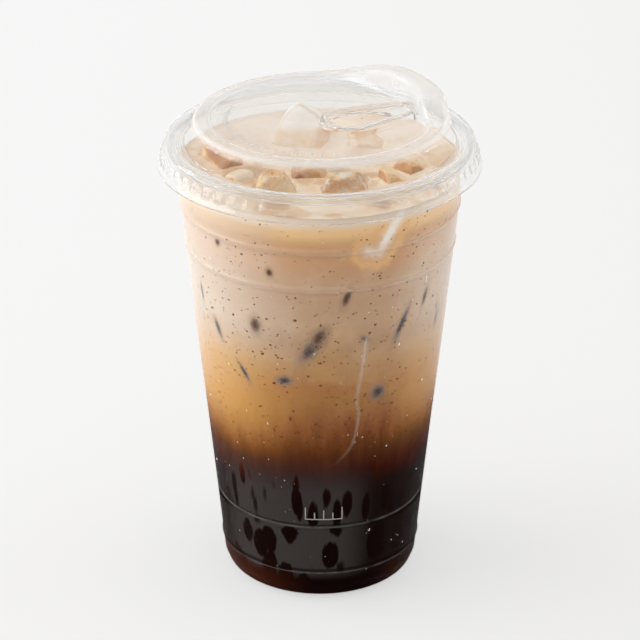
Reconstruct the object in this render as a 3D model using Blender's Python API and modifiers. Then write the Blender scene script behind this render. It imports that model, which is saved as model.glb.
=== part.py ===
"""Iced layered drink in a clear cold cup with a raised sip lid.

Metres, +Z up. The origin is the centre of the cup's base, on the surface it stands on, and the
sip spout rises towards +X. The cup and the lid are thin sheets turned round the Z axis, the drink
fills the cup in layers up to the fill line, and the ice that pokes through the surface sits in
pockets cut out of the top layer.
"""
import math
from dataclasses import dataclass

import bmesh
import bpy
from mathutils import Vector

MM = 0.001

# Turning and clearances
TURN_STEPS = 40                 # facets round the axis
MERGE_DISTANCE = 0.00001
CLEARANCE = 0.35 * MM           # between neighbouring pieces

# Cup: a cone with a rolled rim, four rings and a rounded heel
CUP_SHEET = 0.5 * MM
WALL_FOOT_RADIUS = 32.1 * MM    # the wall's cone carried down to the table
WALL_TAPER = 0.0995             # growth of the radius for each unit of height
RIM_CURL_HEIGHT = 151.0 * MM    # centre of the rolled rim
RIM_CURL_RADIUS = 0.8 * MM      # inner radius of the roll
RIM_CURL_END = -110             # degrees: where the roll stops underneath
RIM_CURL_POINTS = 6
WALL_RINGS = (                  # (height, how far it stands out, half height)
    (132.2 * MM, 0.35 * MM, 1.6 * MM),
    (118.8 * MM, 0.35 * MM, 1.6 * MM),
    (28.7 * MM, -0.55 * MM, 1.5 * MM),
    (10.9 * MM, 0.35 * MM, 1.3 * MM),
)
HEEL_RADIUS = 3.8 * MM
HEEL_INSET = 0.6 * MM           # step in from the wall's cone under the lowest ring
HEEL_POINTS = 4
CONTACT_WIDTH = 2.2 * MM        # flat ring that the cup stands on
PUSH_UP_WIDTH = 4.0 * MM
PUSH_UP_HEIGHT = 2.2 * MM
PUSH_UP_CROWN = 2.8 * MM

# Lid: recessed floor, raised ring, dome wall, trough, bead over the rim and flared skirt
LID_SHEET = 0.45 * MM
FLOOR_HEIGHT = 159.1 * MM
FLOOR_RADIUS = 32.0 * MM
RING_HEIGHT = 160.4 * MM
RING_INNER_RADIUS = 35.8 * MM
RING_OUTER_RADIUS = 39.6 * MM
RING_WALL_RADIUS = 41.0 * MM
DOME_FOOT_RADIUS = 44.2 * MM
DOME_FOOT_HEIGHT = 152.0 * MM
TROUGH_HEIGHT = 150.8 * MM
BEAD_RADIUS = 2.4 * MM
BEAD_POINTS = 6
SKIRT_SHOULDER = (50.6 * MM, 149.2 * MM)
SKIRT_EDGE = (52.4 * MM, 144.8 * MM)

# Sip spout: the ring rises over part of its turn
SPOUT_RISE = 6.5 * MM
SPOUT_START = (-20.0, 3.0)      # degrees: foot and top of the front shoulder
SPOUT_END = (80.0, 42.0)        # degrees: foot and top of the back shoulder
SPOUT_LEAN_IN = 1.6 * MM        # how far the spout's inner wall moves to the axis

# Sip opening: a raised lip shaped like a drop, a pocket inside it and the hole in its wide end
LIP_HEIGHT = 161.0 * MM
LIP_WIDE_END = (9.0 * MM, -3.5 * MM, 9.0 * MM)       # x, y, radius
LIP_NARROW_END = (25.2 * MM, 5.2 * MM, 6.0 * MM)
LIP_WIDTH = 2.0 * MM
POCKET_DEPTH_LEFT = 0.15 * MM   # material left over the lid's floor in the pocket
HOLE_WIDE_END = (9.6 * MM, -3.1 * MM, 5.8 * MM)
HOLE_NARROW_END = (17.0 * MM, 0.9 * MM, 4.8 * MM)
DROP_ARC_POINTS = 9

# Drink: dark coffee at the base, a blended band, and the pale top layer up to the fill line
COLD_BREW_TOP = 46.0 * MM
BLEND_TOP = 66.0 * MM
FILL_HEIGHT = 143.5 * MM
LAYER_GAP = 0.3 * MM
COFFEE_DARK = (0.012, 0.005, 0.004)
COFFEE_MILK = (0.33, 0.13, 0.045)
HORCHATA_TAN = (0.72, 0.47, 0.27)

# Ice
ICE_BEVEL = 1.6 * MM
ICE_CLEARANCE = 0.42 * MM       # how much larger a pocket is than its block, on every side


@dataclass(frozen=True)
class IceBlock:
    """One block of ice.

    Centre and edge lengths are in millimetres, the turn is in degrees, and melt is the share
    of its width and depth that the upper face has kept.
    """

    name: str
    centre: tuple
    size: tuple
    turn: tuple
    melt: tuple


ICE_BLOCKS = (
    IceBlock("ice_back", (-4.9, 22.8, 143.9), (17, 20, 14), (39.2, 11.4, -16.3), (1.0, 0.95)),
    IceBlock("ice_left", (-31.6, 4.6, 140.3), (10.5, 17, 15), (6, -4, 32), (0.85, 0.92)),
    IceBlock("ice_left_low", (-25.6, -10.2, 140.0), (9.5, 9, 12), (4, -6, 40), (0.9, 0.9)),
    IceBlock("ice_front_left", (-14.0, -21.2, 141.0), (19.5, 10, 17), (4, 4, 2), (0.45, 0.58)),
    IceBlock("ice_front_centre", (-3.4, -8.0, 141.6), (12.5, 9, 12), (10, 0, 0), (0.95, 0.95)),
    IceBlock("ice_front_right", (7.8, -21.8, 141.0), (20, 10.6, 17), (4, -2, 4), (0.5, 0.55)),
    IceBlock("ice_right", (22.6, -12.6, 140.4), (7.5, 8.6, 13), (-4, 4, 30), (0.9, 0.9)),
    IceBlock("ice_far_right", (29.0, -2.8, 140.6), (12, 10.5, 13), (6, 6, 45), (0.85, 0.85)),
    IceBlock("ice_centre", (15.0, 17.0, 140.6), (13, 10, 11), (6, 6, -8), (0.95, 0.95)),
)


# ---------------------------------------------------------------- outlines in the (r, z) plane

def arc(centre, radius, start, end, count):
    """Points of an arc about centre from one angle to another, both in degrees."""
    points = []
    for index in range(count):
        angle = math.radians(start + (end - start) * index / (count - 1))
        points.append((centre[0] + radius * math.cos(angle), centre[1] + radius * math.sin(angle)))
    return points


def wall_radius(height):
    """Outer radius of the cup's cone at a height."""
    return WALL_FOOT_RADIUS + WALL_TAPER * height


def ring_outline(height, depth, half_height):
    """Three points of a ring in the wall, which stands out by depth or in where depth is negative."""
    top = height + half_height
    bottom = height - half_height
    return [(wall_radius(top), top), (wall_radius(height) + depth, height), (wall_radius(bottom), bottom)]


def base_outline():
    """The heel, the flat contact ring and the push-up, from the wall to the centre of the base."""
    heel_centre = (wall_radius(HEEL_RADIUS) - HEEL_INSET - HEEL_RADIUS, HEEL_RADIUS)
    points = arc(heel_centre, HEEL_RADIUS, 0, -90, HEEL_POINTS)
    contact_inner = heel_centre[0] - CONTACT_WIDTH
    points.append((contact_inner, 0.0))
    points.append((contact_inner - PUSH_UP_WIDTH, PUSH_UP_HEIGHT))
    points.append((0.0, PUSH_UP_CROWN))
    return points


def cup_outline():
    """Outer face of the cup, from the end of the rim's roll down to the centre of the base."""
    curl_centre = (wall_radius(RIM_CURL_HEIGHT) + RIM_CURL_RADIUS, RIM_CURL_HEIGHT)
    points = arc(curl_centre, RIM_CURL_RADIUS, RIM_CURL_END, 180, RIM_CURL_POINTS)
    for height, depth, half_height in WALL_RINGS:
        points += ring_outline(height, depth, half_height)
    return points + base_outline()


def lid_outline():
    """Top face of the lid, from the centre of its floor out and down to the skirt's edge."""
    curl_radius = wall_radius(RIM_CURL_HEIGHT) + RIM_CURL_RADIUS
    bead = arc((curl_radius, RIM_CURL_HEIGHT), BEAD_RADIUS, 172, 0, BEAD_POINTS)
    trough_outer = bead[0][0] - 0.1 * MM
    return [
        (0.0, FLOOR_HEIGHT),
        (FLOOR_RADIUS, FLOOR_HEIGHT),
        (RING_INNER_RADIUS, RING_HEIGHT - 0.3 * MM),
        (RING_INNER_RADIUS + 0.9 * MM, RING_HEIGHT),
        (RING_OUTER_RADIUS, RING_HEIGHT),
        (RING_WALL_RADIUS - 0.2 * MM, RING_HEIGHT - 0.5 * MM),
        (RING_WALL_RADIUS, FLOOR_HEIGHT),
        (DOME_FOOT_RADIUS, DOME_FOOT_HEIGHT),
        (DOME_FOOT_RADIUS + 0.5 * MM, TROUGH_HEIGHT),
        (trough_outer, TROUGH_HEIGHT),
        *bead,
        SKIRT_SHOULDER,
        SKIRT_EDGE,
    ]


def parallel(outline, distance):
    """The outline moved sideways by a distance, to its right, with mitred corners."""
    points = [Vector(point) for point in outline]
    moved = []
    for index, point in enumerate(points):
        before = point - points[index - 1] if index else points[1] - point
        after = points[index + 1] - point if index + 1 < len(points) else before
        normal_before = Vector((before.y, -before.x)).normalized()
        normal_after = Vector((after.y, -after.x)).normalized()
        mitre = (normal_before + normal_after).normalized()
        shift = mitre * (distance / max(mitre.dot(normal_after), 0.5))
        moved.append(((point + shift).x if point.x > 0.0 else 0.0, (point + shift).y))
    return moved


def between_heights(outline, low, high):
    """The part of an outline that runs down from height high to height low."""
    kept = []
    for start, end in zip(outline, outline[1:]):
        for limit in (high, low):
            crosses = (start[1] - limit) * (end[1] - limit) < 0
            if crosses and start[1] > end[1]:
                share = (limit - start[1]) / (end[1] - start[1])
                kept.append((start[0] + (end[0] - start[0]) * share, limit))
        if low < end[1] < high:
            kept.append(end)
    return kept


# ---------------------------------------------------------------- building blocks

def make_material(name, colour, roughness, transmission=0.0):
    """A Principled material with one colour."""
    material = bpy.data.materials.new(name)
    material.use_nodes = True
    shader = material.node_tree.nodes["Principled BSDF"]
    shader.inputs["Base Color"].default_value = (*colour, 1.0)
    shader.inputs["Roughness"].default_value = roughness
    shader.inputs["Metallic"].default_value = 0.0
    shader.inputs["Transmission Weight"].default_value = transmission
    return material


def add_object(name, mesh, collection, material=None):
    """Link a new object for the mesh into a collection."""
    body = bpy.data.objects.new(name, mesh)
    collection.objects.link(body)
    if material is not None:
        mesh.materials.append(material)
    return body


def mark_cutter(body):
    """Show a cutter as wires only and keep it out of renders."""
    body.hide_render = True
    body.display_type = "WIRE"
    return body


def add_boolean(body, other, operation):
    """Combine another object with this one."""
    modifier = body.modifiers.new(f"{operation.lower()}_{other.name}", "BOOLEAN")
    modifier.operation = operation
    modifier.solver = "EXACT"
    modifier.object = other


def turned_mesh(name, outline):
    """The mesh that an outline at +X makes when it turns once round the Z axis."""
    profile = bpy.data.meshes.new(f"{name}_profile")
    edges = [(index, index + 1) for index in range(len(outline) - 1)]
    profile.from_pydata([(radius, 0.0, height) for radius, height in outline], edges, [])
    turning = bpy.data.objects.new(f"{name}_turning", profile)
    bpy.context.scene.collection.objects.link(turning)
    screw = turning.modifiers.new("turn", "SCREW")
    screw.axis = "Z"
    screw.angle = math.tau
    screw.steps = TURN_STEPS
    screw.render_steps = TURN_STEPS
    screw.use_merge_vertices = True
    screw.merge_threshold = MERGE_DISTANCE
    screw.use_normal_calculate = False
    depsgraph = bpy.context.evaluated_depsgraph_get()
    mesh = bpy.data.meshes.new_from_object(turning.evaluated_get(depsgraph))
    mesh.name = name
    bpy.data.objects.remove(turning)
    bpy.data.meshes.remove(profile)
    mesh.shade_smooth()
    mesh.set_sharp_from_angle(angle=math.radians(40))
    return mesh


def add_sheet_thickness(body, thickness):
    """Give an open sheet its thickness, away from the side its faces look at."""
    solidify = body.modifiers.new("sheet", "SOLIDIFY")
    solidify.thickness = thickness
    solidify.offset = -1.0
    solidify.use_even_offset = True
    solidify.use_rim = True


def drop_outline(wide, narrow, inset=0.0):
    """Outline of a drop: the belt round a wide and a narrow circle, moved in by inset."""
    span = Vector((narrow[0] - wide[0], narrow[1] - wide[1]))
    heading = math.atan2(span.y, span.x)
    opening = math.acos((wide[2] - narrow[2]) / span.length)
    points = []
    for (x, y, radius), start, end in (
        (narrow, heading - opening, heading + opening),
        (wide, heading + opening, heading + math.tau - opening),
    ):
        for index in range(DROP_ARC_POINTS):
            angle = start + (end - start) * index / (DROP_ARC_POINTS - 1)
            reach = radius - inset
            points.append((x + reach * math.cos(angle), y + reach * math.sin(angle)))
    return points


def prism_mesh(name, outline, low, high):
    """An upright prism over an outline given anticlockwise."""
    model = bmesh.new()
    floor = model.faces.new([model.verts.new((x, y, low)) for x, y in outline])
    raised = bmesh.ops.extrude_face_region(model, geom=[floor])
    top = [item for item in raised["geom"] if isinstance(item, bmesh.types.BMVert)]
    bmesh.ops.translate(model, verts=top, vec=(0.0, 0.0, high - low))
    bmesh.ops.recalc_face_normals(model, faces=model.faces)
    mesh = bpy.data.meshes.new(name)
    model.to_mesh(mesh)
    model.free()
    return mesh


# ---------------------------------------------------------------- cup and lid

def smooth_step(start, end, value):
    """0 before start, 1 after end and an S curve between, in either direction."""
    share = min(max((value - start) / (end - start), 0.0), 1.0)
    return share * share * (3.0 - 2.0 * share)


def spout_share(azimuth):
    """How far the ring has risen to the spout at an azimuth in degrees, from 0 to 1."""
    return smooth_step(*SPOUT_START, azimuth) * smooth_step(*SPOUT_END, azimuth)


def raise_spout(mesh):
    """Lift the ring over the spout's part of the turn and lean its inner wall to the axis."""
    middle = (RING_INNER_RADIUS + RING_OUTER_RADIUS) / 2
    for vertex in mesh.vertices:
        radius = math.hypot(vertex.co.x, vertex.co.y)
        if radius < FLOOR_RADIUS - MM or radius > RING_WALL_RADIUS + MM:
            continue
        azimuth = math.degrees(math.atan2(vertex.co.y, vertex.co.x))
        share = spout_share(azimuth)
        level = (vertex.co.z - FLOOR_HEIGHT) / (RING_HEIGHT - FLOOR_HEIGHT)
        lean = SPOUT_LEAN_IN * share if radius < middle else 0.7 * MM * share * level
        vertex.co.x *= (radius - lean) / radius
        vertex.co.y *= (radius - lean) / radius
        vertex.co.z += SPOUT_RISE * share * level


def build_cup(collection):
    """The clear cup: cone, rings, rolled rim and pushed-up base in one sheet."""
    material = make_material("clear_cup_plastic", (0.95, 0.96, 0.96), 0.05, transmission=1.0)
    cup = add_object("cup", turned_mesh("cup", cup_outline()), collection, material)
    add_sheet_thickness(cup, CUP_SHEET)
    return cup


def build_lid(collection, cutters):
    """The clear lid: turned sheet with its spout raised, a lip, and the sip hole through it."""
    material = make_material("clear_lid_plastic", (0.96, 0.97, 0.97), 0.06, transmission=1.0)
    mesh = turned_mesh("lid", lid_outline())
    raise_spout(mesh)
    lid = add_object("lid", mesh, collection, material)
    add_sheet_thickness(lid, LID_SHEET)
    sheet_middle = FLOOR_HEIGHT - LID_SHEET / 2
    above = LIP_HEIGHT + MM
    steps = (
        ("lip", "UNION", drop_outline(LIP_WIDE_END, LIP_NARROW_END), sheet_middle, LIP_HEIGHT),
        ("lip_pocket", "DIFFERENCE", drop_outline(LIP_WIDE_END, LIP_NARROW_END, LIP_WIDTH),
         FLOOR_HEIGHT + POCKET_DEPTH_LEFT, above),
        ("sip_hole", "DIFFERENCE", drop_outline(HOLE_WIDE_END, HOLE_NARROW_END),
         FLOOR_HEIGHT - LID_SHEET - MM, above),
    )
    for name, operation, outline, low, high in steps:
        tool = mark_cutter(add_object(name, prism_mesh(name, outline, low, high), cutters))
        add_boolean(lid, tool, operation)
    return lid


# ---------------------------------------------------------------- drink and ice

def build_layer(name, low, high, colour, collection):
    """One layer of drink that fills the cup between two heights, clear of its wall."""
    inner_face = parallel(cup_outline(), CUP_SHEET + CLEARANCE)
    outline = [(0.0, high), *between_heights(inner_face[RIM_CURL_POINTS:], low, high)]
    if outline[-1][0] > 0.0:
        outline.append((0.0, low))
    material = make_material(f"{name}_liquid", colour, 0.12)
    return add_object(name, turned_mesh(name, outline), collection, material)


def ice_mesh(block, grow):
    """A block's cage, melted narrower at its upper face and larger by grow on every side."""
    kept = (*block.melt, 1.0)
    model = bmesh.new()
    bmesh.ops.create_cube(model, size=2.0)
    for vertex in model.verts:
        upper = vertex.co.z > 0.0
        for axis in range(3):
            reach = block.size[axis] * MM / 2 * (kept[axis] if upper else 1.0)
            vertex.co[axis] *= reach + grow
    mesh = bpy.data.meshes.new(block.name)
    model.to_mesh(mesh)
    model.free()
    return mesh


def place_ice(body, block):
    """Put a block where it floats and round its edges."""
    body.location = Vector(block.centre) * MM
    body.rotation_euler = [math.radians(angle) for angle in block.turn]
    bevel = body.modifiers.new("melted_edges", "BEVEL")
    bevel.width = ICE_BEVEL
    bevel.segments = 1
    bevel.limit_method = "NONE"
    return body


def build_ice(collection, cutters, top_layer):
    """Every block that pokes through the surface, and its pocket in the top layer."""
    material = make_material("ice", (0.86, 0.88, 0.90), 0.08, transmission=0.6)
    blocks = []
    for block in ICE_BLOCKS:
        mesh = ice_mesh(block, 0.0)
        blocks.append(place_ice(add_object(block.name, mesh, collection, material), block))
        pocket = mark_cutter(add_object(f"{block.name}_pocket", ice_mesh(block, ICE_CLEARANCE), cutters))
        place_ice(pocket, block)
        add_boolean(top_layer, pocket, "DIFFERENCE")
    return blocks


def new_collection(name):
    """A collection linked to the scene."""
    collection = bpy.data.collections.new(name)
    bpy.context.scene.collection.children.link(collection)
    return collection


def main():
    """Build the whole drink."""
    for old in list(bpy.data.objects):
        bpy.data.objects.remove(old)
    parts = new_collection("iced_layered_drink")
    cutters = new_collection("cutters")
    build_cup(parts)
    build_lid(parts, cutters)
    build_layer("cold_brew", 0.0, COLD_BREW_TOP, COFFEE_DARK, parts)
    build_layer("blended_layer", COLD_BREW_TOP + LAYER_GAP, BLEND_TOP, COFFEE_MILK, parts)
    horchata = build_layer("horchata", BLEND_TOP + LAYER_GAP, FILL_HEIGHT, HORCHATA_TAN, parts)
    build_ice(parts, cutters, horchata)


main()
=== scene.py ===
"""Looks of a lidded clear cup of iced horchata over cold brew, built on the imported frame.

Metres, +Z up, origin at the centre of the cup's base. Every piece is a numpy surface in that
frame, rides on the one body and takes a finish that is worked out in its nodes.
"""
import logging
import math
import random
from dataclasses import dataclass
from enum import Enum
from functools import cached_property, reduce
from typing import Callable, Mapping, Optional, Sequence, Union

import bpy
import numpy as np
from mathutils import Euler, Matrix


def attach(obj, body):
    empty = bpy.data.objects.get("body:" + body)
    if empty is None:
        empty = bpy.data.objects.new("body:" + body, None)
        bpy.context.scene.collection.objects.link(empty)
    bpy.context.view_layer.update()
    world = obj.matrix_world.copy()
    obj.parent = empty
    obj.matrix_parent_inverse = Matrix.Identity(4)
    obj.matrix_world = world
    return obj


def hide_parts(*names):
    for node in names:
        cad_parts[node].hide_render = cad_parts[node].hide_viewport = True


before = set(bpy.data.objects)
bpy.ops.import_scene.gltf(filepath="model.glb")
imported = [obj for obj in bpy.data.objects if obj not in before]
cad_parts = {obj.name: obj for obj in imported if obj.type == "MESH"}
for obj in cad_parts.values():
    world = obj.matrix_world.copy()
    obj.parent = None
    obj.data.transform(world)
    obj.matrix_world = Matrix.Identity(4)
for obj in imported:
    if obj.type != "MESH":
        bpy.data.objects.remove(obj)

MM = 0.001
BODY = "root"
LOG = logging.getLogger("iced_horchata")
Span = tuple[float, float]
Triple = tuple[float, float, float]
Key = Union[int, str]
Numbers = Union[float, np.ndarray]


# ---------------------------------------------------------------- meshes

def smooth_step(start: float, end: float, value: np.ndarray) -> np.ndarray:
    """0 before start, 1 after end and the cubic 3t^2 - 2t^3 between, in either direction."""
    share = np.clip((value - start) / (end - start), 0.0, 1.0)
    return share * share * (3.0 - 2.0 * share)


def whole_turn(columns: int) -> np.ndarray:
    """Azimuths of even steps round the Z axis."""
    return np.arange(columns) * (math.tau / columns)


def cylindrical(radius: Numbers, azimuth: np.ndarray, height: Numbers) -> np.ndarray:
    """Points (..., 3) at (r cos a, r sin a, z)."""
    return np.stack(np.broadcast_arrays(radius * np.cos(azimuth), radius * np.sin(azimuth), height), axis=-1)


def arc(centre: Span, radius: float, start: float, end: float, count: int) -> np.ndarray:
    """Points (count, 2) on a circle in the (radius, height) plane, from start to end in degrees."""
    angle = np.radians(np.linspace(start, end, count))
    return np.stack([centre[0] + radius * np.cos(angle), centre[1] + radius * np.sin(angle)], axis=1)


def through_points(points: Sequence[Sequence[float]], per_span: int) -> np.ndarray:
    """A Catmull-Rom curve: each span is the cubic through its ends that heads along its neighbours.

    Args:
        points: the points to pass through.
        per_span: samples on each span.

    Returns:
        The curve's samples, ending on the last point.
    """
    knots = np.asarray(points, dtype=float)
    padded = np.vstack([2.0 * knots[0] - knots[1], knots, 2.0 * knots[-1] - knots[-2]])
    share = (np.arange(per_span) / per_span)[None, :, None]
    before, start, end, after = (padded[k:k + len(knots) - 1][:, None, :] for k in range(4))
    cubic = 0.5 * (
        2.0 * start + (end - before) * share
        + (2.0 * before - 5.0 * start + 4.0 * end - after) * share ** 2
        + (3.0 * start - before - 3.0 * end + after) * share ** 3
    )
    return np.vstack([cubic.reshape(-1, knots.shape[1]), knots[-1]])


def headings(line: np.ndarray) -> np.ndarray:
    """Unit directions along a line of points (n, 2)."""
    heading = np.gradient(line, axis=0)
    return heading / np.linalg.norm(heading, axis=1, keepdims=True)


def parallel(outline: np.ndarray, distance: float) -> np.ndarray:
    """An outline in the (radius, height) plane moved along its own normals, to its right.

    Args:
        outline: points (n, 2).
        distance: how far to move.

    Returns:
        The moved points, with the radius kept at or above zero.
    """
    heading = headings(outline)
    moved = outline + np.stack([heading[:, 1], -heading[:, 0]], axis=1) * distance
    moved[:, 0] = np.where(outline[:, 0] <= 0.0, 0.0, np.maximum(moved[:, 0], 0.0))
    return moved


def log_normal(draw: np.random.Generator, size: Triple, growth: np.ndarray) -> np.ndarray:
    """Seeded half widths in metres from a median, a spread and a largest, times a growth for each."""
    median, spread, largest = size
    return np.minimum(np.exp(draw.normal(math.log(median), spread, len(growth))) * growth, largest) * MM


def grid_faces(rows: int, columns: int, wrap_rows: bool = False, wrap_columns: bool = False) -> np.ndarray:
    """Corner numbers (quads, 4) of a grid that is stored row by row.

    Args:
        rows, columns: the grid's size.
        wrap_rows, wrap_columns: whether the last line joins the first.

    Returns:
        The quads.
    """
    row = np.arange(rows if wrap_rows else rows - 1)[:, None]
    column = np.arange(columns if wrap_columns else columns - 1)[None, :]
    below, right = (row + 1) % rows * columns, (column + 1) % columns
    corners = (row * columns + column, row * columns + right, below + right, below + column)
    return np.stack([c.ravel() for c in corners], axis=1)


def fan_faces(centre: int, ring: np.ndarray) -> np.ndarray:
    """Triangles from a pole to each edge of a ring of corner numbers."""
    return np.stack([np.full(len(ring), centre), ring, np.roll(ring, -1)], axis=1)


def lay_mesh(name: str, points: np.ndarray, *faces: np.ndarray) -> bpy.types.Mesh:
    """A smooth mesh whose faces point outwards, or towards +Z where it is open.

    The sign of the sum of (a x b) . c over the faces' first corners says which way they turn.

    Args:
        name: the mesh's name.
        points: corners (..., 3) in metres.
        faces: arrays of corner numbers, one for each number of sides.

    Returns:
        The mesh.
    """
    points = points.reshape(-1, 3)
    first, second, third = (
        np.concatenate([points[block[:, k]] for block in faces]) for k in range(3)
    )
    centre = points.mean(axis=0)
    if np.einsum("ij,ij->", np.cross(first - centre, second - centre), third - centre) < 0.0:
        faces = [block[:, ::-1] for block in faces]
    mesh = bpy.data.meshes.new(name)
    sides = np.concatenate([np.full(len(block), block.shape[1]) for block in faces])
    corners = np.concatenate([block.ravel() for block in faces]).astype(np.int32)
    mesh.vertices.add(len(points))
    mesh.vertices.foreach_set("co", points.astype(np.float32).ravel())
    mesh.loops.add(len(corners))
    mesh.loops.foreach_set("vertex_index", corners)
    mesh.polygons.add(len(sides))
    mesh.polygons.foreach_set("loop_start", (np.cumsum(sides) - sides).astype(np.int32))
    mesh.update(calc_edges=True)
    mesh.validate()
    mesh.shade_smooth()
    return mesh


def capped_mesh(name: str, grid: np.ndarray, first_height: float, last_height: float) -> bpy.types.Mesh:
    """A grid that wraps in its columns, closed by a pole on the axis before and after its rows.

    Args:
        name: the mesh's name.
        grid: points (rows, columns, 3).
        first_height, last_height: heights of the two poles.

    Returns:
        The mesh.
    """
    rows, columns = grid.shape[:2]
    points = np.vstack([grid.reshape(-1, 3), [[0.0, 0.0, first_height], [0.0, 0.0, last_height]]])
    ring = np.arange(columns)
    first_fan = fan_faces(rows * columns, ring)[:, ::-1]
    last_fan = fan_faces(rows * columns + 1, ring + (rows - 1) * columns)
    fans = np.concatenate([first_fan, last_fan])[:, [1, 2, 0]]
    return lay_mesh(name, points, grid_faces(rows, columns, wrap_columns=True), fans)


def scattered_mesh(name: str, copies: np.ndarray, *faces: np.ndarray) -> bpy.types.Mesh:
    """One mesh of copies (copies, corners, 3) of a small form with these faces."""
    offset = (np.arange(copies.shape[0]) * copies.shape[1])[:, None, None]
    return lay_mesh(name, copies, *[(block[None] + offset).reshape(-1, block.shape[1]) for block in faces])


def mark_points(mesh: bpy.types.Mesh, name: str, values: np.ndarray) -> None:
    """Store one number for each corner as a named attribute."""
    mesh.attributes.new(name, "FLOAT", "POINT").data.foreach_set("value", values.astype(np.float32).ravel())


def mark_uv(mesh: bpy.types.Mesh, values: np.ndarray) -> None:
    """Store a UV map.

    Args:
        mesh: the mesh to mark.
        values: one (u, v) pair for each corner.
    """
    corners = np.empty(len(mesh.loops), dtype=np.int32)
    mesh.loops.foreach_get("vertex_index", corners)
    mesh.uv_layers.new(name="patch").data.foreach_set("uv", values[corners].astype(np.float32).ravel())


def add_piece(mesh: bpy.types.Mesh, slot: str, *finishes: "Finish", replaced: Sequence[str] = ()) -> None:
    """Link a piece, dress it, let it ride on the body and hide the CAD parts that it stands for.

    Args:
        mesh: its mesh, in place, whose name it takes.
        slot: the record's material slot; not used.
        finishes: its finishes in slot order.
        replaced: CAD nodes that it stands for.
    """
    piece = bpy.data.objects.new(mesh.name, mesh)
    bpy.context.scene.collection.objects.link(piece)
    for finish in finishes:
        mesh.materials.append(finish.make())
    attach(piece, BODY)
    if replaced:
        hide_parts(*replaced)
    LOG.info("%s: %d faces", mesh.name, len(mesh.polygons))


# ---------------------------------------------------------------- node graphs

def operator(operation: str, reflected: bool = False) -> Callable[["Signal", "Value"], "Signal"]:
    """The method of one of Python's operators: a Math node of the two values.

    Args:
        operation: the Math node's operation.
        reflected: whether the other value comes first.

    Returns:
        The method.
    """
    def method(first: "Signal", other: "Value") -> "Signal":
        """Add the Math node."""
        return first.graph.math(operation, other, first) if reflected else first.math(operation, other)
    return method


@dataclass(frozen=True)
class Signal:
    """One output in a node tree; Python's operators on numbers add Math nodes."""

    graph: "NodeGraph"
    socket: Optional[bpy.types.NodeSocket]

    __add__ = operator("ADD")
    __radd__ = operator("ADD", True)
    __sub__ = operator("SUBTRACT")
    __rsub__ = operator("SUBTRACT", True)
    __mul__ = operator("MULTIPLY")
    __rmul__ = operator("MULTIPLY", True)
    __truediv__ = operator("DIVIDE")
    __rtruediv__ = operator("DIVIDE", True)
    __pow__ = operator("POWER")
    __rpow__ = operator("POWER", True)

    def math(self, operation: str, *others: "Value") -> "Signal":
        """A Math node of this and other values."""
        return self.graph.math(operation, self, *others)

    def step(self, start: float, end: float) -> "Signal":
        """0 at start, 1 at end and a smooth S between them."""
        settings = {"interpolation_type": "SMOOTHSTEP"}
        return self.graph.node("ShaderNodeMapRange", settings, {0: self, 1: start, 2: end, 3: 0.0, 4: 1.0})

    def drop(self, start: float, end: float) -> "Signal":
        """1 at start, 0 at end and a smooth S between them."""
        return 1.0 - self.step(start, end)

    def hump(self, centre: float, half_width: float) -> "Signal":
        """1 at the centre, falling off as exp(-((x - centre) / half_width)^2)."""
        offset = (self - centre) / half_width
        return (0.0 - offset * offset).math("EXPONENT")


Value = Union[Signal, float, Triple]
Stops = Sequence[tuple[float, Triple]]
GREY = (0.5, 0.5, 0.5)


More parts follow.
